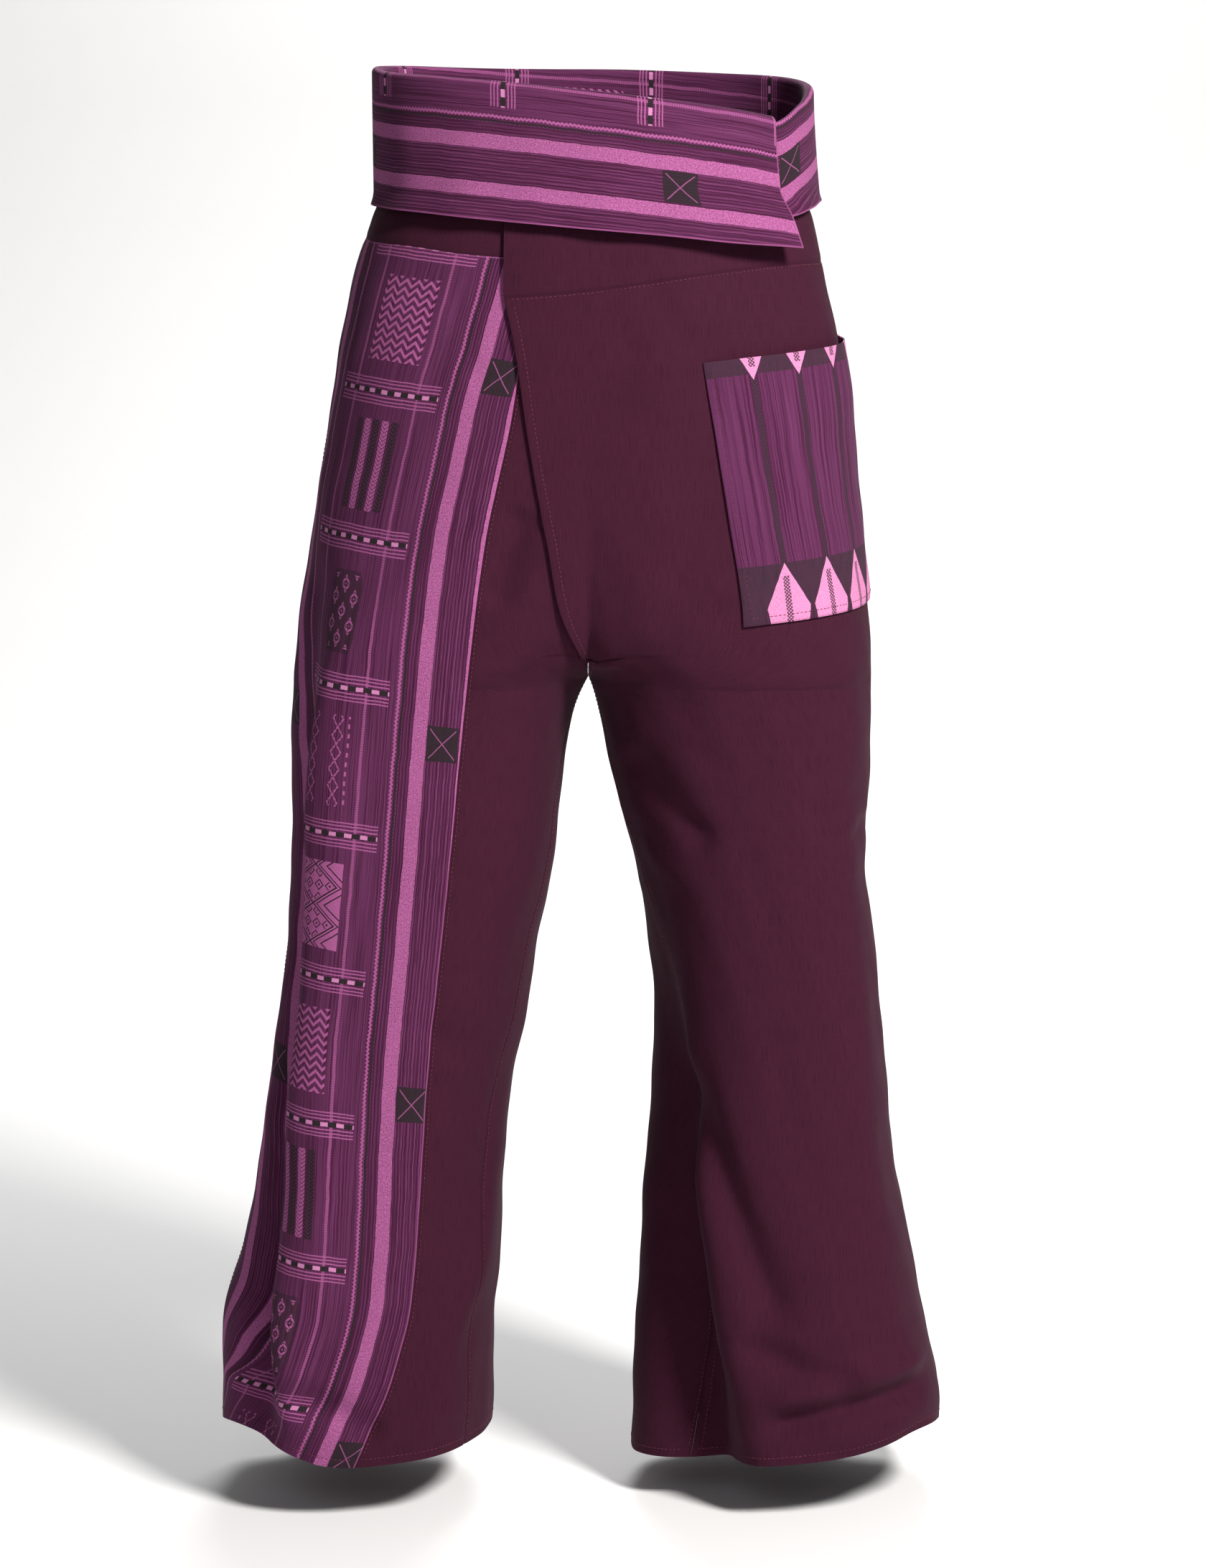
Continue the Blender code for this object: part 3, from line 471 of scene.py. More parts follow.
def legGrid(side, edges, counts):
    # lengths of cloth and heights of a panel's points; the edges are functions of height, from
    # front to back, with so many columns from each to the next
    lines = []
    for edge in edges:
        z = levels["middle"]
        for _ in range(4):
            across = edge(z) - outerLine(side, z)
            z = legHeights(side, across[:, None])[:, 0]
        lines.append(across[:, None])
    columns = [lines[0]]
    for first, second, count in zip(lines[:-1], lines[1:], counts):
        share = np.linspace(0, 1, count + 1)[1:]
        share = share - 0.55 * np.sin(2 * np.pi * share) / (2 * np.pi)  # closer at both ends
        columns.append(first * (1 - share) + second * share)
    columns = np.hstack(columns)
    z = legHeights(side, columns)
    return columns + outerLine(side, z), z


def openFront(z):
    # whether a height lies above the point where the two fronts start to overlap
    return z > wrapStart


def besideInseam(z):
    # end of the close-set columns next to the front's middle seam or the inseam
    return inseamAt(z) + 0.025 + 0.035 * smoothStep((crotchZ - z) / 0.10)


def rightFrontStart(z):
    return np.where(openFront(z), -underReach(z), inseamAt(z) + seamGap / 2)


def rightFrontNear(z):
    near = np.where(openFront(z), alongAtX(right, overReach(z), z), besideInseam(z))
    return np.minimum(near, stripFront(z) - 0.012)


def stripFront(z):
    # the woven strip's front edge, as a length of cloth round the right leg
    return alongAtX(right, curve(z, strip["z"], strip["x"]), z)


def stripBack(z):
    return stripFront(z) + stripWidth


def legEnd(side, z):
    return arcLength(side, z) + inseamAt(z) - seamGap / 2


def leftLegStart(z):
    over = alongAtX(right, overReach(z), z)
    return np.where(openFront(z), -over, inseamAt(z) + seamGap / 2)


def leftLegNear(z):
    return np.where(openFront(z), underReach(z), besideInseam(z))


leftLegSide = 0.46  # share of the leg's round at which its columns change
leftLegEdges = (leftLegStart, leftLegNear, lambda z: leftLegSide * arcLength(left, z),
                lambda z: legEnd(left, z))


def frontLift(along, z):
    # the left front lies on the right one near the middle, and comes down beside it
    clear = underReach(z) + 0.012
    near = smoothStep((clear + 0.045 - along) / 0.045)
    steep = 1 + 0.7 * smoothStep((-0.330 - z) / 0.040)
    return wrapLift * steep * near * smoothStep((z - wrapStart + 0.013) / 0.008)


def ringPoint(turn, z):
    # a point of the waist's plain outline, and the level direction out of it
    turn, z = np.broadcast_arrays(np.asarray(turn, float), np.asarray(z, float))

    def outlineAt(t):
        t = t % 1.0
        onLeft = outlinePoint(left, t * 2 * arcLength(left, z), z)
        onRight = outlinePoint(right, (1 - t) * 2 * arcLength(right, z), z)
        return np.where((t <= 0.5)[..., None], onLeft, onRight)

    here = outlineAt(turn)
    step = 0.004
    along = outlineAt(turn + step) - outlineAt(turn - step)
    out = np.stack([along[..., 1], -along[..., 0], np.zeros(turn.shape)], axis=-1)
    return here, out / np.linalg.norm(out, axis=-1, keepdims=True)


def ringTurns(start, end, overCount, roundCount):
    # turns of the waist's sections; where two layers lie on each other both have the same
    overlap = np.linspace(start, end - 1, overCount)
    between = np.linspace(end - 1, start + 1, roundCount)
    return np.concatenate([overlap, between[1:-1], overlap + 1])


def layerLift(turn, end):
    # the outer layer at the start comes down to the inner one once the overlap has ended
    return wrapLift * smoothStep((end - 1 + 0.085 - turn) / 0.07)


# Long creases finer than those above: where they run, how far they stand out and how far their
# crest leans round the leg over the trough beside it, all with one width in degrees.
leanColumns = ("z", "angle", "depth", "lean")
leanRows = (
    # right leg, the pressed edge that folds over the trough down the strip
    (right, 6.0, ((-0.27, -38, 0.0, 0.0), (-0.40, -50, 0.002, 0.003), (-0.50, -48, 0.003, 0.009),
                  (-0.64, -51, 0.003, 0.012), (-0.70, -53, 0.004, 0.014),
                  (-0.83, -58, 0.004, 0.016), (-0.90, -65, 0.003, 0.012), (-0.97, -66, 0.0, 0.0))),
    (right, 11.0, ((-0.28, -20, 0.0, 0.0), (-0.38, -30, -0.010, 0.0), (-0.54, -29, -0.020, 0.0),
                   (-0.68, -33, -0.018, 0.0), (-0.82, -41, -0.010, 0.0), (-0.97, -48, 0.0, 0.0))),
    # left leg, the broad trough beside the shin's front
    (left, 24.0, ((-0.50, -156, 0.0, 0.0), (-0.62, -152, -0.007, 0.0), (-0.74, -147, -0.016, 0.0),
                  (-0.86, -139, -0.023, 0.0), (-0.94, -131, -0.023, 0.0),
                  (-1.01, -126, -0.018, 0.0))),
    (left, 9.0, ((-0.58, -138, 0.0, 0.0), (-0.70, -133, 0.002, -0.002), (-0.80, -125, 0.003, -0.004),
                 (-0.90, -113, 0.003, -0.004), (-1.01, -98, 0.002, 0.0))),
    # behind, folds that fall from the seat to the hem of each leg
    (right, 12.0, ((-0.36, 84, 0.0, 0.0), (-0.50, 74, -0.007, 0.0), (-0.66, 66, -0.012, 0.0),
                   (-0.82, 61, -0.014, 0.0), (-1.01, 58, -0.012, 0.0))),
    (right, 8.0, ((-0.46, 52, 0.0, 0.0), (-0.62, 44, 0.003, 0.004), (-0.80, 40, 0.005, 0.006),
                  (-1.01, 38, 0.004, 0.004))),
    (left, 13.0, ((-0.38, 100, 0.0, 0.0), (-0.52, 110, -0.007, 0.0), (-0.70, 119, -0.013, 0.0),
                  (-0.86, 124, -0.014, 0.0), (-1.01, 127, -0.012, 0.0))),
    (left, 8.0, ((-0.50, 131, 0.0, 0.0), (-0.66, 139, 0.003, -0.004), (-0.82, 143, 0.005, -0.006),
                 (-1.01, 146, 0.004, -0.004))),
)


def leanFolds(half, angle, z):
    # how far these creases stand out, and how far they lean round the leg
    depth, lean = np.zeros(np.shape(z)), np.zeros(np.shape(z))
    for side, width, rows in leanRows:
        rows = table(leanColumns, rows)
        away = (np.degrees(angle) - curve(z, rows["z"], rows["angle"]) + 180) % 360 - 180
        swell = np.where(half == side, np.exp(-(away / width)**2), 0.0)
        swell = np.where((z > rows["z"][-1]) | (z < rows["z"][0] - 0.04), 0.0, swell)
        depth += swell * curve(z, rows["z"], rows["depth"])
        lean += swell * curve(z, rows["z"], rows["lean"])
    return depth, lean


# Soft creases finer than those above, on every side. Face is -1 in front and 1 behind.
softColumns = ("side", "face", "x0", "z0", "x1", "z1", "width", "depth")
softRows = (
    (right, -1, 0.098, -0.112, 0.074, -0.190, 0.007, -0.0022),
    (right, -1, 0.120, -0.105, 0.104, -0.200, 0.009, -0.0016),
    (right, -1, 0.020, -0.300, 0.060, -0.420, 0.012, -0.0040),
    (right, -1, 0.010, -0.345, 0.040, -0.400, 0.007, -0.0028),
    (right, -1, 0.110, -0.520, 0.060, -0.560, 0.010, -0.0018),
    (right, -1, 0.130, -0.640, 0.075, -0.680, 0.012, -0.0022),
    (right, -1, 0.080, -0.860, 0.135, -0.960, 0.010, -0.0030),
    (right, -1, 0.205, -0.900, 0.262, -0.950, 0.010, 0.0040),
    (right, -1, 0.190, -0.945, 0.250, -0.915, 0.007, -0.0040),
    (left, -1, 0.010, -0.085, 0.040, -0.175, 0.009, -0.0030),
    (left, -1, 0.040, -0.095, 0.085, -0.165, 0.010, -0.0020),
    (left, -1, 0.012, -0.330, 0.085, -0.440, 0.014, -0.0034),
    (left, -1, 0.004, -0.375, 0.120, -0.470, 0.009, -0.0022),
    (left, -1, 0.035, -0.470, 0.100, -0.515, 0.008, -0.0030),
    (left, -1, 0.034, -0.515, 0.082, -0.552, 0.008, 0.0022),
    (left, -1, 0.150, -0.505, 0.209, -0.470, 0.012, -0.0030),
    (left, -1, 0.190, -0.520, 0.211, -0.500, 0.007, -0.0030),
    (left, -1, 0.140, -0.905, 0.262, -0.885, 0.010, 0.0032),
    (left, -1, 0.165, -0.975, 0.268, -0.955, 0.007, -0.0038),
    (left, -1, 0.085, -0.900, 0.150, -0.975, 0.009, -0.0032),
    (right, 1, 0.020, -0.330, 0.110, -0.430, 0.014, -0.0080),
    (right, 1, 0.012, -0.372, 0.095, -0.412, 0.009, -0.0055),
    (right, 1, 0.060, -0.560, 0.170, -0.600, 0.012, -0.0060),
    (right, 1, 0.075, -0.600, 0.190, -0.655, 0.010, -0.0048),
    (right, 1, 0.120, -0.880, 0.220, -0.935, 0.012, -0.0065),
    (right, 1, 0.100, -0.950, 0.200, -0.985, 0.008, -0.0026),
    (left, 1, 0.018, -0.325, 0.105, -0.425, 0.014, -0.0076),
    (left, 1, 0.010, -0.368, 0.100, -0.405, 0.009, -0.0052),
    (left, 1, 0.060, -0.545, 0.165, -0.585, 0.012, -0.0060),
    (left, 1, 0.070, -0.610, 0.180, -0.640, 0.010, -0.0046),
    (left, 1, 0.100, -0.900, 0.220, -0.870, 0.012, -0.0065),
)


def softDepth(half, angle, z, points):
    # the finer creases, and a slow unevenness that keeps the cloth from looking turned
    x, y = np.abs(points[..., 0]), points[..., 1]
    depth = 0.0007 * np.sin(37 * z + 3 * angle) * np.sin(23 * z - 5 * angle + half)
    depth += 0.0005 * np.sin(91 * z + 7 * angle + 2 * half) * np.sin(41 * z - 11 * angle)
    for row in softRows:
        fold = dict(zip(softColumns, row))
        share, beside, above, length = alongFold(fold, x, z)
        bow = 0.12 * length * np.sin(np.pi * share)
        ends = smoothStep(np.minimum(share, 1 - share) / 0.3)
        facing = smoothStep(fold["face"] * y / 0.05)
        swell = np.exp(-(np.hypot(beside, above + bow) / fold["width"])**2)
        depth += np.where(half == fold["side"], fold["depth"] * ends * facing * swell, 0.0)
    return calmAtMiddle(depth, points, z)


def mixedNumbers(count, seed):
    return np.random.default_rng(seed).random(count)


# Cloth as shells with a real edge, and thread as rows of small stitches

clothShellSettings = {"thickness": 0.0011, "seamDip": 0.0006, "seamWidth": 0.0024,
                      "sharpAngle": 50}
stitchSettings = {"pitch": 0.0034, "length": 0.0024, "width": 0.00055, "height": 0.00035}


def addMesh(name, points, faces):
    mesh = bpy.data.meshes.new(name)
    mesh.from_pydata([tuple(point) for point in points], [], faces)
    mesh.shade_smooth()
    made = bpy.data.objects.new(name, mesh)
    bpy.context.scene.collection.objects.link(made)
    return made


def writeMark(made, name, values):
    mark = made.data.attributes.new(name, "FLOAT_VECTOR", "POINT")
    mark.data.foreach_set("vector", np.asarray(values, np.float32).ravel())


def clothShell(name, outer, normals, marks, thickness=clothShellSettings["thickness"]):
    # a wall from a grid of points on its outer face; marks are grids to keep on its points
    inner = outer - normals * thickness
    rows, columns = outer.shape[:2]
    points = np.concatenate([outer.reshape(-1, 3), inner.reshape(-1, 3)])
    index = np.arange(rows * columns).reshape(rows, columns)
    quads = np.stack([index[:-1, :-1], index[:-1, 1:], index[1:, 1:], index[1:, :-1]], axis=-1)
    quads = quads.reshape(-1, 4)
    rim = np.concatenate([index[0, :-1], index[:-1, -1], index[-1, :0:-1], index[:0:-1, 0]])
    after, shift = np.roll(rim, -1), rows * columns
    edge = np.stack([after, rim, rim + shift, after + shift], axis=-1)
    faces = np.concatenate([quads, quads[:, ::-1] + shift, edge])
    across = points[faces[:, 2]] - points[faces[:, 0]]
    down = points[faces[:, 3]] - points[faces[:, 1]]
    if np.einsum("ij,ij->", points[faces].mean(axis=1), np.cross(across, down)) < 0:
        faces = faces[:, ::-1]
    made = addMesh(name, points.tolist(), faces.tolist())
    made.data.set_sharp_from_angle(angle=math.radians(clothShellSettings["sharpAngle"]))
    for mark, values in marks.items():
        flat = np.asarray(values).reshape(-1, 3)
        writeMark(made, mark, np.concatenate([flat, flat]))
    return made


def stitchMesh(paths):
    # every path is a row of points with the cloth's normals there
    points, faces = [], []
    for path, normals in paths:
        run = np.concatenate([[0], np.cumsum(np.linalg.norm(np.diff(path, axis=0), axis=1))])
        starts = np.arange(0.0008, run[-1] - stitchSettings["length"], stitchSettings["pitch"])
        wander = mixedNumbers(len(starts), len(starts)) - 0.5
        for start, drift in zip(starts, wander):
            reach = start + stitchSettings["length"] * (1 + 0.1 * drift)
            ends = [np.array([np.interp(distance, run, path[:, k]) for k in range(3)])
                    for distance in (start, reach)]
            normal = np.array([np.interp(start, run, normals[:, k]) for k in range(3)])
            along = ends[1] - ends[0]
            side = np.cross(along, normal)
            side *= stitchSettings["width"] / 2 / (np.linalg.norm(side) + 1e-12)
            rise = normal * stitchSettings["height"]
            low, high = ends[0] * 0.8 + ends[1] * 0.2, ends[0] * 0.2 + ends[1] * 0.8
            first = len(points)
            points += [ends[0] - rise * 0.3, low - side, low + rise, low + side,
                       high - side, high + rise, high + side, ends[1] - rise * 0.3]
            faces += [[first + k for k in face] for face in (
                (0, 2, 1), (0, 3, 2), (1, 2, 5, 4), (2, 3, 6, 5), (4, 5, 7), (5, 6, 7),
                (0, 1, 4, 7), (0, 7, 6, 3))]
    return points, faces


def addStitches(name, paths, material):
    made = addMesh(name, *stitchMesh(paths))
    made.data.materials.append(material)
    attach(made, "root")
    return made


def dress(made, material, node):
    # the finish and the place in the frame of a finished cloth piece; the part it stands for is
    # hidden
    made.data.materials.append(material)
    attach(made, "root")
    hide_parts(node)
    print(made.name, len(made.data.polygons), "faces")
    return made


# Shader maths: a Reading is a number that varies over the cloth

class Reading:
    def __init__(self, tree, socket):
        self.tree, self.socket = tree, socket

    def work(self, operation, *others):
        node = self.tree.nodes.new("ShaderNodeMath")
        node.operation = operation
        for index, value in enumerate((self,) + others):
            if isinstance(value, Reading):
                self.tree.links.new(value.socket, node.inputs[index])
            else:
                node.inputs[index].default_value = value
        return Reading(self.tree, node.outputs[0])

    def __add__(self, other):
        return self.work("ADD", other)

    def __sub__(self, other):
        return self.work("SUBTRACT", other)

    def __mul__(self, other):
        return self.work("MULTIPLY", other)

    def size(self):
        return self.work("ABSOLUTE")

    def near(self, centre, half):
        return self.work("COMPARE", centre, half)

    def below(self, limit):
        return self.work("LESS_THAN", limit)

    def above(self, limit):
        return self.work("GREATER_THAN", limit)

    def repeat(self, period):
        return self.work("FLOORED_MODULO", period)

    def mirrored(self, period):
        return self.work("PINGPONG", period)

    def centred(self, period):
        # distance from the nearest of the places that lie a period apart
        return (self + period / 2).repeat(period) - period / 2

    def either(self, other):
        return self.work("MAXIMUM", other)

    def without(self, other):
        return self * (other * -1 + 1)

    def eased(self, low, high):
        node = self.tree.nodes.new("ShaderNodeMapRange")
        node.interpolation_type = "SMOOTHSTEP"
        node.inputs["From Min"].default_value = low
        node.inputs["From Max"].default_value = high
        self.tree.links.new(self.socket, node.inputs["Value"])
        return Reading(self.tree, node.outputs["Result"])


def markReadings(tree, name):
    # the three numbers kept on the cloth's points, in millimetres
    source = tree.nodes.new("ShaderNodeAttribute")
    source.attribute_name = name
    parts = tree.nodes.new("ShaderNodeSeparateXYZ")
    tree.links.new(source.outputs["Vector"], parts.inputs["Vector"])
    return [Reading(tree, socket) * 1000.0 for socket in parts.outputs]


def unevenness(tree, x, y, scaleX, scaleY, detail=2.0, seed=0.0):
    # a noise over the cloth with a grain of its own size each way, about 0.5 on average
    grain = tree.nodes.new("ShaderNodeCombineXYZ")
    tree.links.new((x * scaleX).socket, grain.inputs["X"])
    tree.links.new((y * scaleY).socket, grain.inputs["Y"])
    grain.inputs["Z"].default_value = seed
    noise = tree.nodes.new("ShaderNodeTexNoise")
    noise.inputs["Scale"].default_value = 1.0
    noise.inputs["Detail"].default_value = detail
    noise.inputs["Roughness"].default_value = 0.6
    tree.links.new(grain.outputs["Vector"], noise.inputs["Vector"])
    return Reading(tree, noise.outputs["Fac"])


def wander(tree, x, y, scaleX, scaleY, seed, reach, detail=2.0):
    # how far a yarn strays from its place, in millimetres
    return (unevenness(tree, x, y, scaleX, scaleY, detail, seed) - 0.5) * reach


def paint(tree, under, colour, mask):
    # lays one colour over another where the mask is 1; a name is a thread's colour
    node = tree.nodes.new("ShaderNodeMix")
    node.data_type = "RGBA"
    node.clamp_factor = True
    if isinstance(mask, Reading):
        tree.links.new(mask.socket, node.inputs["Factor"])
    else:
        node.inputs["Factor"].default_value = mask
    for socket, value in ((node.inputs[6], under), (node.inputs[7], colour)):
        if isinstance(value, str):
            socket.default_value = (*threadColours[value], 1.0)
        else:
            tree.links.new(value, socket)
    return node.outputs[2]


def newCloth(name, roughness, sheen):
    material = bpy.data.materials.new(name)
    material.use_nodes = True
    tree = material.node_tree
    shader = tree.nodes["Principled BSDF"]
    shader.inputs["Roughness"].default_value = roughness
    shader.inputs["Specular IOR Level"].default_value = 0.08
    shader.inputs["Sheen Weight"].default_value = sheen
    shader.inputs["Sheen Roughness"].default_value = 0.45
    shader.inputs["Sheen Tint"].default_value = (0.80, 0.55, 0.70, 1.0)
    return material, tree, shader


def bumpFrom(tree, shader, height, distance):
    bump = tree.nodes.new("ShaderNodeBump")
    bump.inputs["Strength"].default_value = 1.0
    bump.inputs["Distance"].default_value = distance
    tree.links.new(height.socket, bump.inputs["Height"])
    tree.links.new(bump.outputs["Normal"], shader.inputs["Normal"])


threadColours = {
    "dark": (0.0405, 0.0078, 0.0195),
    "darkDeep": (0.027, 0.0047, 0.0125),
    "darkWarm": (0.052, 0.0096, 0.0205),
    "purple": (0.098, 0.0225, 0.072),
    "purpleLight": (0.150, 0.042, 0.112),
    "purpleDeep": (0.040, 0.0062, 0.025),
    "pink": (0.330, 0.088, 0.235),
    "pinkPale": (0.470, 0.175, 0.350),
    "charcoal": (0.020, 0.0135, 0.017),
    "pocketPink": (0.560, 0.200, 0.385),
    "pocketCharcoal": (0.045, 0.0175, 0.034),
    "seamThread": (0.150, 0.030, 0.055),
}
weaveSettings = {"yarn": 0.9, "bump": 0.00022}


def weaveHeight(tree, x, y):
    # plain weave with uneven yarns, x and y in millimetres
    yarns = unevenness(tree, x, y, 1.7, 0.08, 3.0) * 0.7
    yarns = yarns + unevenness(tree, x, y, 0.10, 1.9, 3.0, 4.0) * 0.6
    yarn = weaveSettings["yarn"]
    over = (x.mirrored(yarn / 2) + y.mirrored(yarn / 2)) * (0.5 / yarn)
    return yarns + over


def seamShade(edge):
    # cloth is darker within a couple of millimetres of a seam
    return edge.eased(0.0, 2.2) * -1 + 1


def darkCloth():
    material, tree, shader = newCloth("darkCotton", 0.90, 0.03)
    x, y, _ = markReadings(tree, "clothPlace")
    edge, hem, _ = markReadings(tree, "clothEdge")
    streaks = unevenness(tree, x, y, 1.9, 0.06, 3.0)
    cross = unevenness(tree, x, y, 0.04, 1.1, 3.0, 2.0)
    clouds = unevenness(tree, x, y, 0.012, 0.009, 3.0, 7.0)
    colour = paint(tree, "darkDeep", "dark", streaks.eased(0.25, 0.60))
    colour = paint(tree, colour, "darkWarm", cross.eased(0.50, 0.85) * 0.35)
    colour = paint(tree, colour, "darkDeep", clouds.eased(0.56, 0.80) * 0.30)
    colour = paint(tree, colour, "darkDeep", seamShade(edge) * 0.6)
    tree.links.new(colour, shader.inputs["Base Color"])
    pucker = unevenness(tree, x, y, 0.16, 0.16, 1.0, 9.0) * hem.near(6.0, 6.0)
    bumpFrom(tree, shader, weaveHeight(tree, x, y) + pucker * 1.2, weaveSettings["bump"])
    return material


# The woven strip and band are one cloth, mirrored about the column of motifs. u runs across it
# and v along it, in millimetres, and the bars and motifs repeat every bay.
wovenSettings = {
    "bay": 108.0, "barEnd": 47.0, "thinLine": 30.0, "beadedLine": 54.0,
    "broadLine": (72.0, 5.2), "outerLine": (106.6, 5.0),  # middle and half width
    "squareCentre": 89.0, "squareHalf": (11.5, 13.0), "squareEvery": 270.0, "squareAt": 86.4,
}
motifHalves = {  # half width and half height of each motif's block
    "zigzag": (23.5, 31.5), "chevron": (20.5, 33.5), "flower": (15.5, 30.0), "diamond": (23.5, 32.5),
}


def motifBlock(u, v, name):
    halfU, halfV = motifHalves[name]
    return u.size().below(halfU) * v.size().below(halfV)


def zigzagMotif(u, v):
    block = motifBlock(u, v, "zigzag")
    waves = (v + u.mirrored(5.3)).repeat(6.4).below(2.7)
    return block * waves, block * 0.0


def chevronMotif(u, v):
    column = (u + 20.5).repeat(8.2) - 4.1
    teeth = (v + column.size() * 0.9).repeat(3.0).below(2.25)
    ink = motifBlock(u, v, "chevron") * column.size().below(3.2) * teeth
    pink = (u + 20.5).repeat(16.4).above(8.2)
    return ink * pink, ink.without(pink)


def flowerMotif(u, v):
    ground = (u.size() + v.size() * 0.30).below(21.5) * motifBlock(u, v, "flower")
    flowers = None
    for shiftU, shiftV in ((0.0, 0.0), (9.6, 10.0)):
        cu, cv = (u + shiftU).centred(19.2).size(), (v + shiftV).centred(20.0).size()
        spread = cu * (1 / 4.3) + cv * (1 / 7.2)
        petals = spread.near(0.72, 0.24) * ((cv + cu * 0.6).repeat(2.6).below(1.9))
        petals = petals.either(spread.below(0.13))
        flowers = petals if flowers is None else flowers.either(petals)
    return flowers * ground * v.size().below(27.0), ground * 0.62


def chainMotif(u, v):
    block = v.size().below(33.5)
    beside = u.size() - 10.5
    swing = v.mirrored(6.2) * 0.66
    chain = (beside - swing).near(0.0, 0.62).either((beside + swing).near(0.0, 0.62))
    chain = chain * v.repeat(2.9).above(0.5)
    dashes = u.size().near(19.4, 0.8) * v.repeat(7.0).below(3.3)
    return chain.either(dashes) * block, block * 0.0


def diamondMotif(u, v):
    block = motifBlock(u, v, "diamond")
    tall = (v + 14.5).centred(29.0).size()
    spread = u.size() + tall * 1.35
    lines = spread.near(19.5, 0.9).either(spread.near(23.0, 0.7)).either(spread.near(30.0, 0.8))
    cu, cv = (u + 4.7).centred(9.4).size(), (v + 4.7).centred(9.6).size()
    small = (cu + cv).near(3.7, 0.6).either((cu + cv).below(1.1)) * spread.below(17.5)
    dark = lines.either(small) * block
    return block.without(dark), dark


def wovenCloth():
    settings = wovenSettings
    material, tree, shader = newCloth("handwovenCotton", 0.90, 0.05)
    u, v, _ = markReadings(tree, "clothPlace")
    edge, _, _ = markReadings(tree, "clothEdge")
    plainU, plainV = u, v
    u = u + wander(tree, plainU, plainV, 0.02, 0.05, 3.0, 1.8)
    v = v + wander(tree, plainU, plainV, 0.04, 0.02, 5.0, 2.0)
    v = v + wander(tree, plainU, plainV, 1.1, 0.10, 15.0, 0.5, 1.0)
    wide = u.size()
    threads = unevenness(tree, u, v, 0.95, 0.008, 2.0)
    fine = unevenness(tree, u, v, 2.4, 0.05, 2.0, 8.0)
    colour = paint(tree, "purpleDeep", "purple",
                   threads.eased(0.34, 0.56) * 0.85 + fine * 0.15)
    colour = paint(tree, colour, "purpleLight", threads.eased(0.60, 0.74) * 0.55)

    lined = wide.above(56.0)
    darkYarns = wide.repeat(2.45).below(1.15) * fine.eased(0.25, 0.5)
    colour = paint(tree, colour, "purpleDeep", lined * darkYarns * 0.85)
    pinkYarns = (wide - 88.0).centred(4.9).size().below(0.45) * wide.above(78.0)
    colour = paint(tree, colour, "pink", pinkYarns * fine.eased(0.35, 0.7) * 0.30)

    flecks = unevenness(tree, u, v, 1.3, 0.9, 2.0, 6.0)
    speckle = flecks.eased(0.38, 0.52)
    soft = speckle * 0.55 + 0.40
    centre, half = settings["broadLine"]
    broad = wide.near(centre, half) * soft
    outer = wide.near(*settings["outerLine"]) * soft
    colour = paint(tree, colour, "pink", broad.either(outer))
    pale = unevenness(tree, u, v, 0.7, 0.5, 2.0, 1.0).eased(0.52, 0.72) * 0.5
    colour = paint(tree, colour, "pinkPale", broad.either(outer) * pale)

    thin = wide.near(settings["thinLine"], 1.15) * (v.repeat(1.8).below(1.2) * 0.35 + 0.25)
    beads = (wide + v.mirrored(1.5) * 0.8).near(settings["beadedLine"] + 0.6, 0.95)
    shadow = (wide - v.mirrored(1.5) * 0.6).near(settings["beadedLine"] + 2.9, 0.9)
    colour = paint(tree, colour, "pink", thin)
    colour = paint(tree, colour, "charcoal", shadow * 0.8)
    colour = paint(tree, colour, "pink", beads * 0.8)

    bay = settings["bay"]
    inBay = v.repeat(bay) - bay / 2
    away = inBay.size() * -1 + bay / 2
    inBar = wide.below(settings["barEnd"])
    rules = away.near(3.9, 0.55).either(away.near(6.6, 0.5)).either(away.near(9.0, 0.5))
    colour = paint(tree, colour, "pink", rules * inBar * 0.8)
    ladder = away.below(1.9) * inBar
    colour = paint(tree, colour, "charcoal", ladder * (u + 2.0).repeat(12.0).above(5.6))
    colour = paint(tree, colour, "pinkPale", ladder * (u + 2.0).repeat(12.0).below(5.6)
                   * away.below(1.5))

    bayNumber = v.work("DIVIDE", bay).work("FLOOR").repeat(5.0)
    pinkInk, darkInk = None, None
    for number, motif in enumerate((zigzagMotif, chevronMotif, flowerMotif, chainMotif,
                                    diamondMotif)):
        here = bayNumber.near(float(number), 0.1)
        pink, dark = motif(u, inBay)
        pinkInk = pink * here if pinkInk is None else pinkInk + pink * here
        darkInk = dark * here if darkInk is None else darkInk + dark * here
    colour = paint(tree, colour, "charcoal", darkInk * 0.92)
    colour = paint(tree, colour, "pink", pinkInk * (speckle * 0.25 + 0.75))

    squareU = wide - settings["squareCentre"]
    squareV = (v - settings["squareAt"]).centred(settings["squareEvery"])
    halfU, halfV = settings["squareHalf"]
    square = squareU.size().below(halfU) * squareV.size().below(halfV)
    cross = (squareU.size() * (1 / halfU) - squareV.size() * (1 / halfV)).near(0.0, 0.045)
    colour = paint(tree, colour, "charcoal", square * 0.94)
    colour = paint(tree, colour, "pink", square * cross * squareU.size().below(9.5) * 0.6)
    colour = paint(tree, colour, "pink", edge.below(1.1) * 0.45)
    tree.links.new(colour, shader.inputs["Base Color"])
    raised = (pinkInk + darkInk + broad + outer + rules * inBar + beads) * 0.5
    bumpFrom(tree, shader, weaveHeight(tree, u, v) + raised, weaveSettings["bump"] * 1.3)
    return material


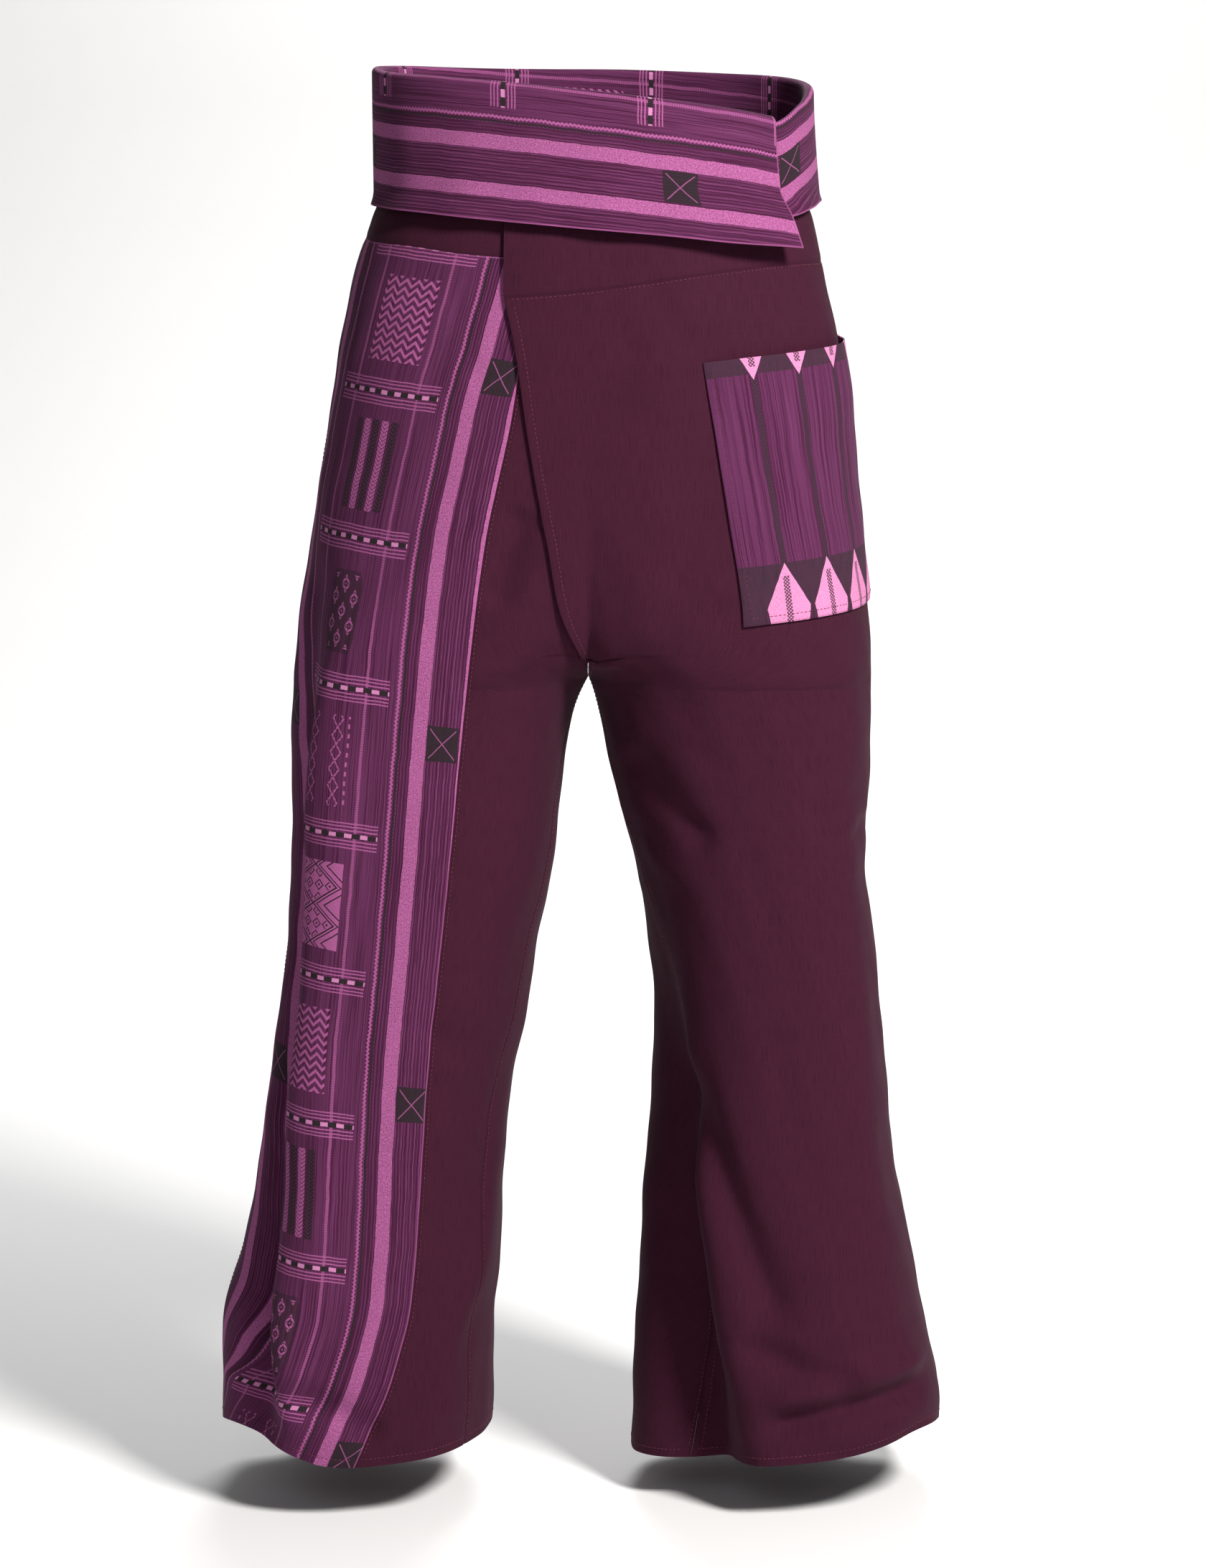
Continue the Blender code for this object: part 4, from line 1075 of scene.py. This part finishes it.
# The pocket's cloth: u from its front edge and v down from its mouth, in millimetres
pocketCloth = {"column": 37.0, "firstColumn": 34.5, "topBorder": 12.5, "lowBorder": 157.0,
               "kiteWide": 191.0}


def latticeInk(across, v, half, line):
    # crossed threads in a narrow column
    first = (across + v).repeat(2.6).below(line)
    second = (across - v).repeat(2.6).below(line)
    return across.size().below(half) * first.either(second)


def pocketWeave():
    settings = pocketCloth
    material, tree, shader = newCloth("pocketCotton", 0.90, 0.05)
    u, v, _ = markReadings(tree, "clothPlace")
    edge, _, _ = markReadings(tree, "clothEdge")
    plainU, plainV = u, v
    u = u + wander(tree, plainU, plainV, 0.02, 0.06, 3.0, 1.6)
    v = v + wander(tree, plainU, plainV, 0.20, 0.02, 5.0, 1.4)
    threads = unevenness(tree, u, v, 0.55, 0.006, 2.0, 11.0)
    fine = unevenness(tree, u, v, 2.4, 0.04, 2.0, 8.0)
    colour = paint(tree, "purpleDeep", "purple",
                   threads.eased(0.34, 0.56) * 0.75 + fine * 0.15)
    colour = paint(tree, colour, "purpleLight", threads.eased(0.60, 0.76) * 0.45)

    column = (u - settings["firstColumn"]).centred(settings["column"])
    hasColumn = u.above(settings["firstColumn"] - settings["column"] / 2 + 0.5)
    betweenBorders = v.above(settings["topBorder"]) * v.below(settings["lowBorder"])
    stripe = column.size().below(2.5) * hasColumn * betweenBorders
    colour = paint(tree, colour, "charcoal", stripe * 0.92)
    colour = paint(tree, colour, "purple", latticeInk(column, v, 2.5, 0.5) * stripe * 0.6)

    border = v.below(settings["topBorder"]).either(v.above(settings["lowBorder"]))
    borderColour = paint(tree, "charcoal", "pocketCharcoal", fine.eased(0.25, 0.6))
    colour = paint(tree, colour, borderColour, border * 0.95)

    tip = (v - settings["lowBorder"]) * (16.7 / (settings["kiteWide"] - settings["lowBorder"]))
    lowTaper = (v - settings["kiteWide"]) * -0.16 + 16.7
    kite = column.size() - tip.work("MINIMUM", lowTaper)
    kite = kite.below(0.0) * hasColumn * v.above(settings["lowBorder"])
    topTip = v * -0.5 + 8.4
    triangle = (column.size() - topTip).below(0.0) * hasColumn * v.below(17.0)
    pinks = kite.either(triangle)
    flecks = unevenness(tree, u, v, 1.0, 0.9, 1.0, 6.0).eased(0.34, 0.50)
    colour = paint(tree, colour, "pocketPink", pinks * (flecks * 0.3 + 0.7))
    inKite = latticeInk(column, v, 2.4, 1.1) * kite * v.above(settings["lowBorder"] + 10.0)
    inTriangle = latticeInk(column, v, 2.4, 1.1) * triangle * v.below(7.0)
    colour = paint(tree, colour, "charcoal", inKite.either(inTriangle) * 0.9)
    outline = (u - settings["firstColumn"] - settings["column"] / 2).centred(settings["column"])
    colour = paint(tree, colour, "purpleDeep",
                   outline.size().below(0.5) * v.above(settings["kiteWide"]) * 0.6)
    colour = paint(tree, colour, "purpleDeep", seamShade(edge) * 0.4)
    tree.links.new(colour, shader.inputs["Base Color"])
    bumpFrom(tree, shader, weaveHeight(tree, u, v) + (pinks + stripe) * 0.5,
             weaveSettings["bump"] * 1.3)
    return material


def threadMaterial():
    material, tree, shader = newCloth("seamThread", 0.75, 0.10)
    place = tree.nodes.new("ShaderNodeTexCoord")
    noise = tree.nodes.new("ShaderNodeTexNoise")
    noise.inputs["Scale"].default_value = 900.0
    tree.links.new(place.outputs["Object"], noise.inputs["Vector"])
    twist = Reading(tree, noise.outputs["Fac"])
    colour = paint(tree, "darkWarm", "seamThread", twist.eased(0.3, 0.6))
    tree.links.new(colour, shader.inputs["Base Color"])
    return material


darkMaterial = darkCloth()
wovenMaterial = wovenCloth()
pocketMaterial = pocketWeave()
seamThread = threadMaterial()
print("cloth materials made")


# Legs

def edgeMarks(along, z):
    # distance to the nearest side or upper edge, to the hem and to the upper edge
    across = np.minimum(along - along[:, :1], along[:, -1:] - along)
    low, high = z - z[-1:], z[:1] - z
    return np.stack([np.minimum(across, high), low, high], axis=-1)


def seamLift(along, z, seams):
    # pulls the cloth in a little along its seams: front edge, back edge, top
    settings = clothShellSettings
    gaps = (along - along[:, :1], along[:, -1:] - along, z[:1] - z)
    lift = np.zeros(z.shape)
    for gap, sewn in zip(gaps, seams):
        if sewn:
            lift -= settings["seamDip"] * np.exp(-(gap / settings["seamWidth"])**2)
    return lift


legPieces = {
    "rightFront": {
        "side": right, "node": "right_front", "slot": "dark_cloth", "counts": (22, 38),
        "edges": (rightFrontStart, rightFrontNear, lambda z: stripFront(z) - seamGap / 2),
        "seams": (True, True, True), "flat": (0.20, 0.92), "area": 0.085,
    },
    "rightStrip": {
        "side": right, "node": "right_strip", "slot": "woven_strip", "counts": (88,),
        "edges": (lambda z: stripFront(z) + seamGap / 2, lambda z: stripBack(z) - seamGap / 2),
        "seams": (True, True, True), "flat": (0.211, 0.93), "area": 0.191,
    },
    "rightBack": {
        "side": right, "node": "right_back", "slot": "dark_cloth", "counts": (72,),
        "edges": (lambda z: stripBack(z) + seamGap / 2, lambda z: legEnd(right, z)),
        "seams": (True, True, True), "flat": (0.46, 0.93), "area": 0.345,
    },
    "leftLeg": {
        "side": left, "node": "left_leg", "slot": "dark_cloth", "counts": (22, 82, 62),
        "edges": leftLegEdges, "seams": (False, True, True), "flat": (0.78, 0.93), "area": 0.61,
    },
}


def clothPath(side, along, z, lift):
    # a line over the cloth: lengths of cloth and heights, in 3-D with the normals
    points, normals = clothWithNormals(side, along, z, lift)
    return points.reshape(-1, 3), normals.reshape(-1, 3)


def insetPath(piece, inset, edge):
    # a line that keeps its distance from a panel's front, back, top or hem edge
    side = piece["side"]
    along, z = piece["grid"]
    inner = slice(2, -2)
    lines = {
        "front": (along[inner, 0] + inset, z[inner, 0]),
        "back": (along[inner, -1] - inset, z[inner, -1]),
        "top": (along[0, inner], z[0, inner] - inset),
        "hem": (along[-1, inner], z[-1, inner] + inset),
    }
    line, height = lines[edge]
    return clothPath(side, line, height, frontLift(line, height) if side == left else 0.0)


def buildLegPiece(name, settings):
    side = settings["side"]
    along, z = settings["grid"]
    lift = seamLift(along, z, settings["seams"])
    if side == left:
        lift = lift + frontLift(along, z)
    outer, normals = clothWithNormals(side, along, z, lift)
    if name == "rightStrip":
        material = wovenMaterial
        clothPlace = stripPlace(outer, z)
    else:
        material = darkMaterial
        clothPlace = np.stack([along, z, np.zeros(z.shape)], axis=-1)
    marks = {"clothPlace": clothPlace, "clothEdge": edgeMarks(along, z)}
    made = clothShell(name, outer, normals, marks)
    return dress(made, material, settings["node"])


stripPattern = {
    "slant": math.radians(6.8), "start": -0.003,
    # distance from the column of motifs to the strip's front edge, at a height
    "z": (-0.99, -0.66, -0.45, -0.21, -0.15, -0.09),
    "frontEdge": (0.098, 0.1005, 0.103, 0.105, 0.097, 0.088),
}


def stripPlace(points, z):
    # across the strip from its column of motifs, and down it square to its edges
    settings = stripPattern
    across = np.cumsum(np.linalg.norm(np.diff(points, axis=1, prepend=points[:, :1]), axis=-1),
                       axis=1)
    u = curve(z, np.array(settings["z"]), np.array(settings["frontEdge"])) - across
    edgeX = curve(z[:, :1], strip["z"], strip["x"])
    down = -0.095 - z
    v = down * math.cos(settings["slant"]) + (edgeX + across) * math.sin(settings["slant"])
    return np.stack([u, v + settings["start"], np.zeros(z.shape)], axis=-1)


for pieceName, pieceSettings in legPieces.items():
    pieceSettings["grid"] = legGrid(pieceSettings["side"], pieceSettings["edges"],
                                    pieceSettings["counts"])
    buildLegPiece(pieceName, pieceSettings)


# Yoke

yokeSettings = {"rows": 24, "flat": (0.78, 0.08), "area": None}


def yokeGrid():
    runs = []
    along, z = legPieces["leftLeg"]["grid"]
    runs.append((left, along[0], z[0]))
    for name, skip in (("rightBack", 0), ("rightStrip", 1), ("rightFront", 1)):
        along, z = legPieces[name]["grid"]
        runs.append((right, along[0][::-1][skip:], z[0][::-1][skip:]))
    return runs


def buildYoke():
    outer, normals, places, edges = [], [], [], []
    run = 0.0
    for side, along, seam in yokeGrid():
        rows = np.linspace(0, 1, yokeSettings["rows"])[:, None]
        z = (bandJoinZ - seamGap) * (1 - rows) + (seam + seamGap) * rows
        scaled = along * np.where(along > 0, arcLength(side, z) / arcLength(side, seam), 1.0)
        lift = frontLift(scaled, z) if side == left else 0.0
        gap = (z - seam) / clothShellSettings["seamWidth"]
        dip = clothShellSettings["seamDip"] * np.exp(-gap**2)
        points, outward = clothWithNormals(side, scaled, z, lift - dip)
        outer.append(points)
        normals.append(outward)
        around = run + np.cumsum(np.abs(np.diff(along, prepend=along[0])))
        run = around[-1]
        places.append(np.stack([np.broadcast_to(around, z.shape), z, 0 * z], axis=-1))
        edges.append(np.stack([z - seam, 1 + 0 * z, 1 + 0 * z], axis=-1))
    marks = {"clothPlace": np.hstack(places), "clothEdge": np.hstack(edges)}
    made = clothShell("yoke", np.hstack(outer), np.hstack(normals), marks)
    return dress(made, darkMaterial, "yoke")


buildYoke()

stitchLines = {
    "rightLegStitches": ("dark_cloth", (
        ("rightFront", 0.006, "hem"), ("rightBack", 0.006, "hem"), ("rightStrip", 0.006, "hem"),
        ("rightFront", 0.0022, "back"), ("rightBack", 0.0022, "front"),
        ("rightBack", 0.0022, "back"), ("rightBack", 0.0022, "top"))),
    "leftLegStitches": ("dark_cloth", (
        ("leftLeg", 0.006, "hem"), ("leftLeg", 0.0062, "front"), ("leftLeg", 0.0022, "back"),
        ("leftLeg", 0.0022, "top"))),
}
for stitchName, (slotName, rows) in stitchLines.items():
    paths = [insetPath(legPieces[name], inset, edge) for name, inset, edge in rows]
    addStitches(stitchName, paths, seamThread)
print("legs and their stitching made")


# Waistband and tie

bandSettings = {"around": 300, "overlap": 84, "rise": 22, "fold": 14, "fall": 34,
                # where the top fold crosses the cloth's pattern, at turns round the waist
                "foldTurns": (-0.09, 0.20, 0.35, 0.60, 0.78, 1.16),
                "foldAt": (0.050, 0.053, 0.048, 0.035, 0.029, 0.0235),
                "patternStart": 0.0591, "patternScale": 1.0194, "flat": (1.18, 0.20)}


def fineBandLine(turn):
    # the cloth's middle line at one turn: up from the hidden seam, over the top fold and down
    # to the flap's edge, with the flap's small waves
    settings = bandSettings
    top, edge, stand = (float(curve(turn, waist["turn"], waist[name]))
                        for name in ("top", "edge", "stand"))
    inside = float(layerLift(turn, bandEnd)) - wall / 2
    wrapped = float(smoothStep((turn - (bandStart + 1 - 0.12)) / 0.10))
    outside = bandTopOut + (bandTopOutWrapped - bandTopOut) * wrapped - wall / 2
    radius = (outside - inside) / 2
    turnZ = top - radius - wall / 2
    rise = np.linspace(bandJoinZ, turnZ, settings["rise"])
    fold = np.radians(np.linspace(180, 0, settings["fold"]))
    fall = np.linspace(turnZ, edge, settings["fall"])[1:]
    share = (turnZ - fall) / (turnZ - edge)
    wave = 0.0009 * np.sin(turn * 2 * np.pi * 7 + 1.0) + 0.0006 * np.sin(turn * 2 * np.pi * 17)
    flare = outside + (stand - wall / 2 - outside) * share**1.4 + wave * share
    return np.concatenate([
        np.stack([np.full(len(rise) - 1, inside), rise[:-1]], axis=-1),
        np.stack([(inside + outside) / 2 + radius * np.cos(fold),
                  turnZ + radius * np.sin(fold)], axis=-1),
        np.stack([flare, fall], axis=-1)])


def buildWaistband():
    settings = bandSettings
    turns = ringTurns(bandStart, bandEnd, settings["overlap"], settings["around"])
    lines = np.array([fineBandLine(turn) for turn in turns])
    run = np.gradient(lines, axis=1)
    sideWay = unit(np.stack([run[..., 1], -run[..., 0]], axis=-1))
    face = lines - sideWay * wall / 2
    here, out = ringPoint(turns[:, None], face[..., 1])
    outer = here + out * face[..., :1]
    normals = out * -sideWay[..., :1] + np.array([0.0, 0.0, 1.0]) * -sideWay[..., 1:]
    steps = np.linalg.norm(np.diff(lines, axis=1, prepend=lines[:, :1]), axis=-1)
    length = np.cumsum(steps, axis=1)
    foldColumn = settings["rise"] - 1 + settings["fold"] // 2
    foldAt = np.interp(turns, settings["foldTurns"], settings["foldAt"])
    places = length - length[:, [foldColumn]] + foldAt[:, None]
    edges = length[:, -1:] - length
    around = np.linalg.norm(np.diff(outer[:, foldColumn], axis=0), axis=1)
    around = np.concatenate([[0], np.cumsum(around)])
    v = settings["patternScale"] * (settings["patternStart"] - around[:, None])
    v = np.broadcast_to(v, outer.shape[:2])
    places = np.stack([places, v, 0 * v], axis=-1)
    ends = np.minimum(around, around[-1] - around)[:, None]
    edges = np.stack([np.minimum(edges, ends), 1 + 0 * v, 1 + 0 * v], axis=-1)
    made = clothShell("waistband", outer, normals, {"clothPlace": places, "clothEdge": edges})
    return dress(made, wovenMaterial, "waistband")


tieSettings = {"overlap": 40, "around": 120, "rows": 7, "thickness": 0.0009, "flat": (0.024, 0.90)}


def buildTie():
    settings = tieSettings
    turns = np.concatenate([np.linspace(bandStart, bandEnd - 1, settings["overlap"]),
                            np.linspace(bandEnd - 1, bandStart + 1, settings["around"])[1:-1]])
    z = np.linspace(tieZ - tieHeight / 2, tieZ + tieHeight / 2, settings["rows"])
    turns = np.append(turns, turns[0])[:, None]
    stepDown = smoothStep((bandStart + 1 - turns) / 0.035)
    lift = layerLift(turns, bandEnd) + wrapLift * (1 - stepDown)
    here, normals = ringPoint(turns, z)
    outer = here + normals * (lift + tieLift + tieWall)[..., None]
    v = np.linspace(0, settings["flat"][1], len(outer))[:, None] + 0 * z
    place = np.stack([0 * v + z, v, 0 * v], axis=-1)
    edge = np.stack([0.02 + 0 * v, 1 + 0 * v, 1 + 0 * v], axis=-1)
    made = clothShell("waistTie", outer, normals, {"clothPlace": place, "clothEdge": edge},
                      settings["thickness"])
    return dress(made, darkMaterial, "waist_tie")


buildWaistband()
buildTie()


# Pocket

pocketSettings = {"across": 76, "down": 72, "flat": (0.200, 0.202), "stitchColumn": 2}


def buildPocket():
    across = np.linspace(0, 1, pocketSettings["across"])[None, :]
    down = np.linspace(0, 1, pocketSettings["down"])[:, None]
    corners = np.array([pocketTopFront, pocketLowFront])
    frontEdge = alongAtX(left, corners[:, 0], corners[:, 1])
    along = frontEdge[0] + (frontEdge[1] - frontEdge[0]) * down + pocketWidth * across
    z = corners[0, 1] + (corners[1, 1] - corners[0, 1]) * down + pocketRise * across
    mouth = pocketMouth * smoothStep(1 - down / 0.5) * np.sin(math.pi * across)
    edge = np.minimum(np.minimum(across, 1 - across) * 0.20, (1 - down) * 0.20)
    pressed = 0.0006 * np.exp(-(edge / 0.003)**2)
    outer, normals = clothWithNormals(left, along, z, pocketLift + pocketWall + mouth - pressed)
    v = np.broadcast_to(down * pocketSettings["flat"][1], along.shape)
    u = np.broadcast_to(across * pocketWidth, along.shape)
    marks = {"clothPlace": np.stack([u, v, 0 * v], axis=-1),
             "clothEdge": np.stack([edge + 0 * v, 1 + 0 * v, 1 + 0 * v], axis=-1)}
    made = clothShell("pocket", outer, normals, marks)
    near = pocketSettings["stitchColumn"]
    inner = slice(near, -near)
    sewn = ((inner, near), (inner, -1 - near), (-1 - near, inner))
    addStitches("pocketStitches", [(outer[line], normals[line]) for line in sewn], seamThread)
    return dress(made, pocketMaterial, "pocket")


buildPocket()


# Camera, light and floor

cameraSettings = {"elevation": 6.5, "target": (0.011, 0.0, -0.4867), "distance": 3.2,
                  "viewHeight": 1.1914}
lightSettings = (
    # name, place, size, power, colour
    ("keyLight", (1.45, -2.05, 1.3), 0.7, 156.0, (1.0, 0.975, 0.95)),
    ("fillLight", (-0.6, -3.2, 0.9), 1.6, 9.0, (0.95, 0.97, 1.0)),
    ("backLight", (0.2, 2.6, 1.6), 1.6, 78.0, (1.0, 1.0, 1.0)),
)
worldStrength = 0.08
floorZ = -1.03
sweep = {"reach": 6.0, "back": 1.9, "radius": 1.2, "top": 3.2, "steps": 12,
         "paper": (0.88, 0.88, 0.88)}


def aimAt(thing, target):
    direction = np.array(target) - np.array(thing.location)
    level = math.hypot(direction[0], direction[1])
    thing.rotation_euler = (math.atan2(level, -direction[2]), 0.0,
                            math.atan2(direction[1], direction[0]) - math.pi / 2)


def addCamera():
    data = bpy.data.cameras.new("photoCamera")
    camera = bpy.data.objects.new("photoCamera", data)
    bpy.context.scene.collection.objects.link(camera)
    rise, distance = math.radians(cameraSettings["elevation"]), cameraSettings["distance"]
    x, y, z = cameraSettings["target"]
    camera.location = (x, y - distance * math.cos(rise), z + distance * math.sin(rise))
    aimAt(camera, cameraSettings["target"])
    data.sensor_fit = "VERTICAL"
    data.sensor_height = 24.0
    data.lens = data.sensor_height * distance / cameraSettings["viewHeight"]
    data.clip_end = 50.0
    bpy.context.scene.camera = camera


def addLights():
    for name, position, size, power, colour in lightSettings:
        data = bpy.data.lights.new(name, "AREA")
        data.shape = "DISK"
        data.size = size
        data.energy = power
        data.color = colour
        lamp = bpy.data.objects.new(name, data)
        lamp.location = position
        aimAt(lamp, (0.0, 0.0, -0.5))
        bpy.context.scene.collection.objects.link(lamp)
    world = bpy.data.worlds.new("studio")
    world.use_nodes = True
    world.node_tree.nodes["Background"].inputs["Color"].default_value = (0.95, 0.95, 0.96, 1.0)
    world.node_tree.nodes["Background"].inputs["Strength"].default_value = worldStrength
    bpy.context.scene.world = world


def addFloor():
    # a pale floor that sweeps up behind
    turns = np.linspace(0, math.pi / 2, sweep["steps"])
    line = [(-sweep["reach"], floorZ)]
    line += [(sweep["back"] + sweep["radius"] * math.sin(turn),
              floorZ + sweep["radius"] * (1 - math.cos(turn))) for turn in turns]
    line.append((sweep["back"] + sweep["radius"], sweep["top"]))
    points = [(x, y, z) for y, z in line for x in (-sweep["reach"], sweep["reach"])]
    faces = [(2 * k, 2 * k + 1, 2 * k + 3, 2 * k + 2) for k in range(len(line) - 1)]
    floor = addMesh("floor", points, faces)
    paper = bpy.data.materials.new("palePaper")
    paper.use_nodes = True
    shader = paper.node_tree.nodes["Principled BSDF"]
    shader.inputs["Base Color"].default_value = (*sweep["paper"], 1.0)
    shader.inputs["Roughness"].default_value = 0.9
    floor.data.materials.append(paper)


addCamera()
addLights()
addFloor()
bpy.context.scene.view_settings.view_transform = "Standard"
print("camera, light and floor placed")
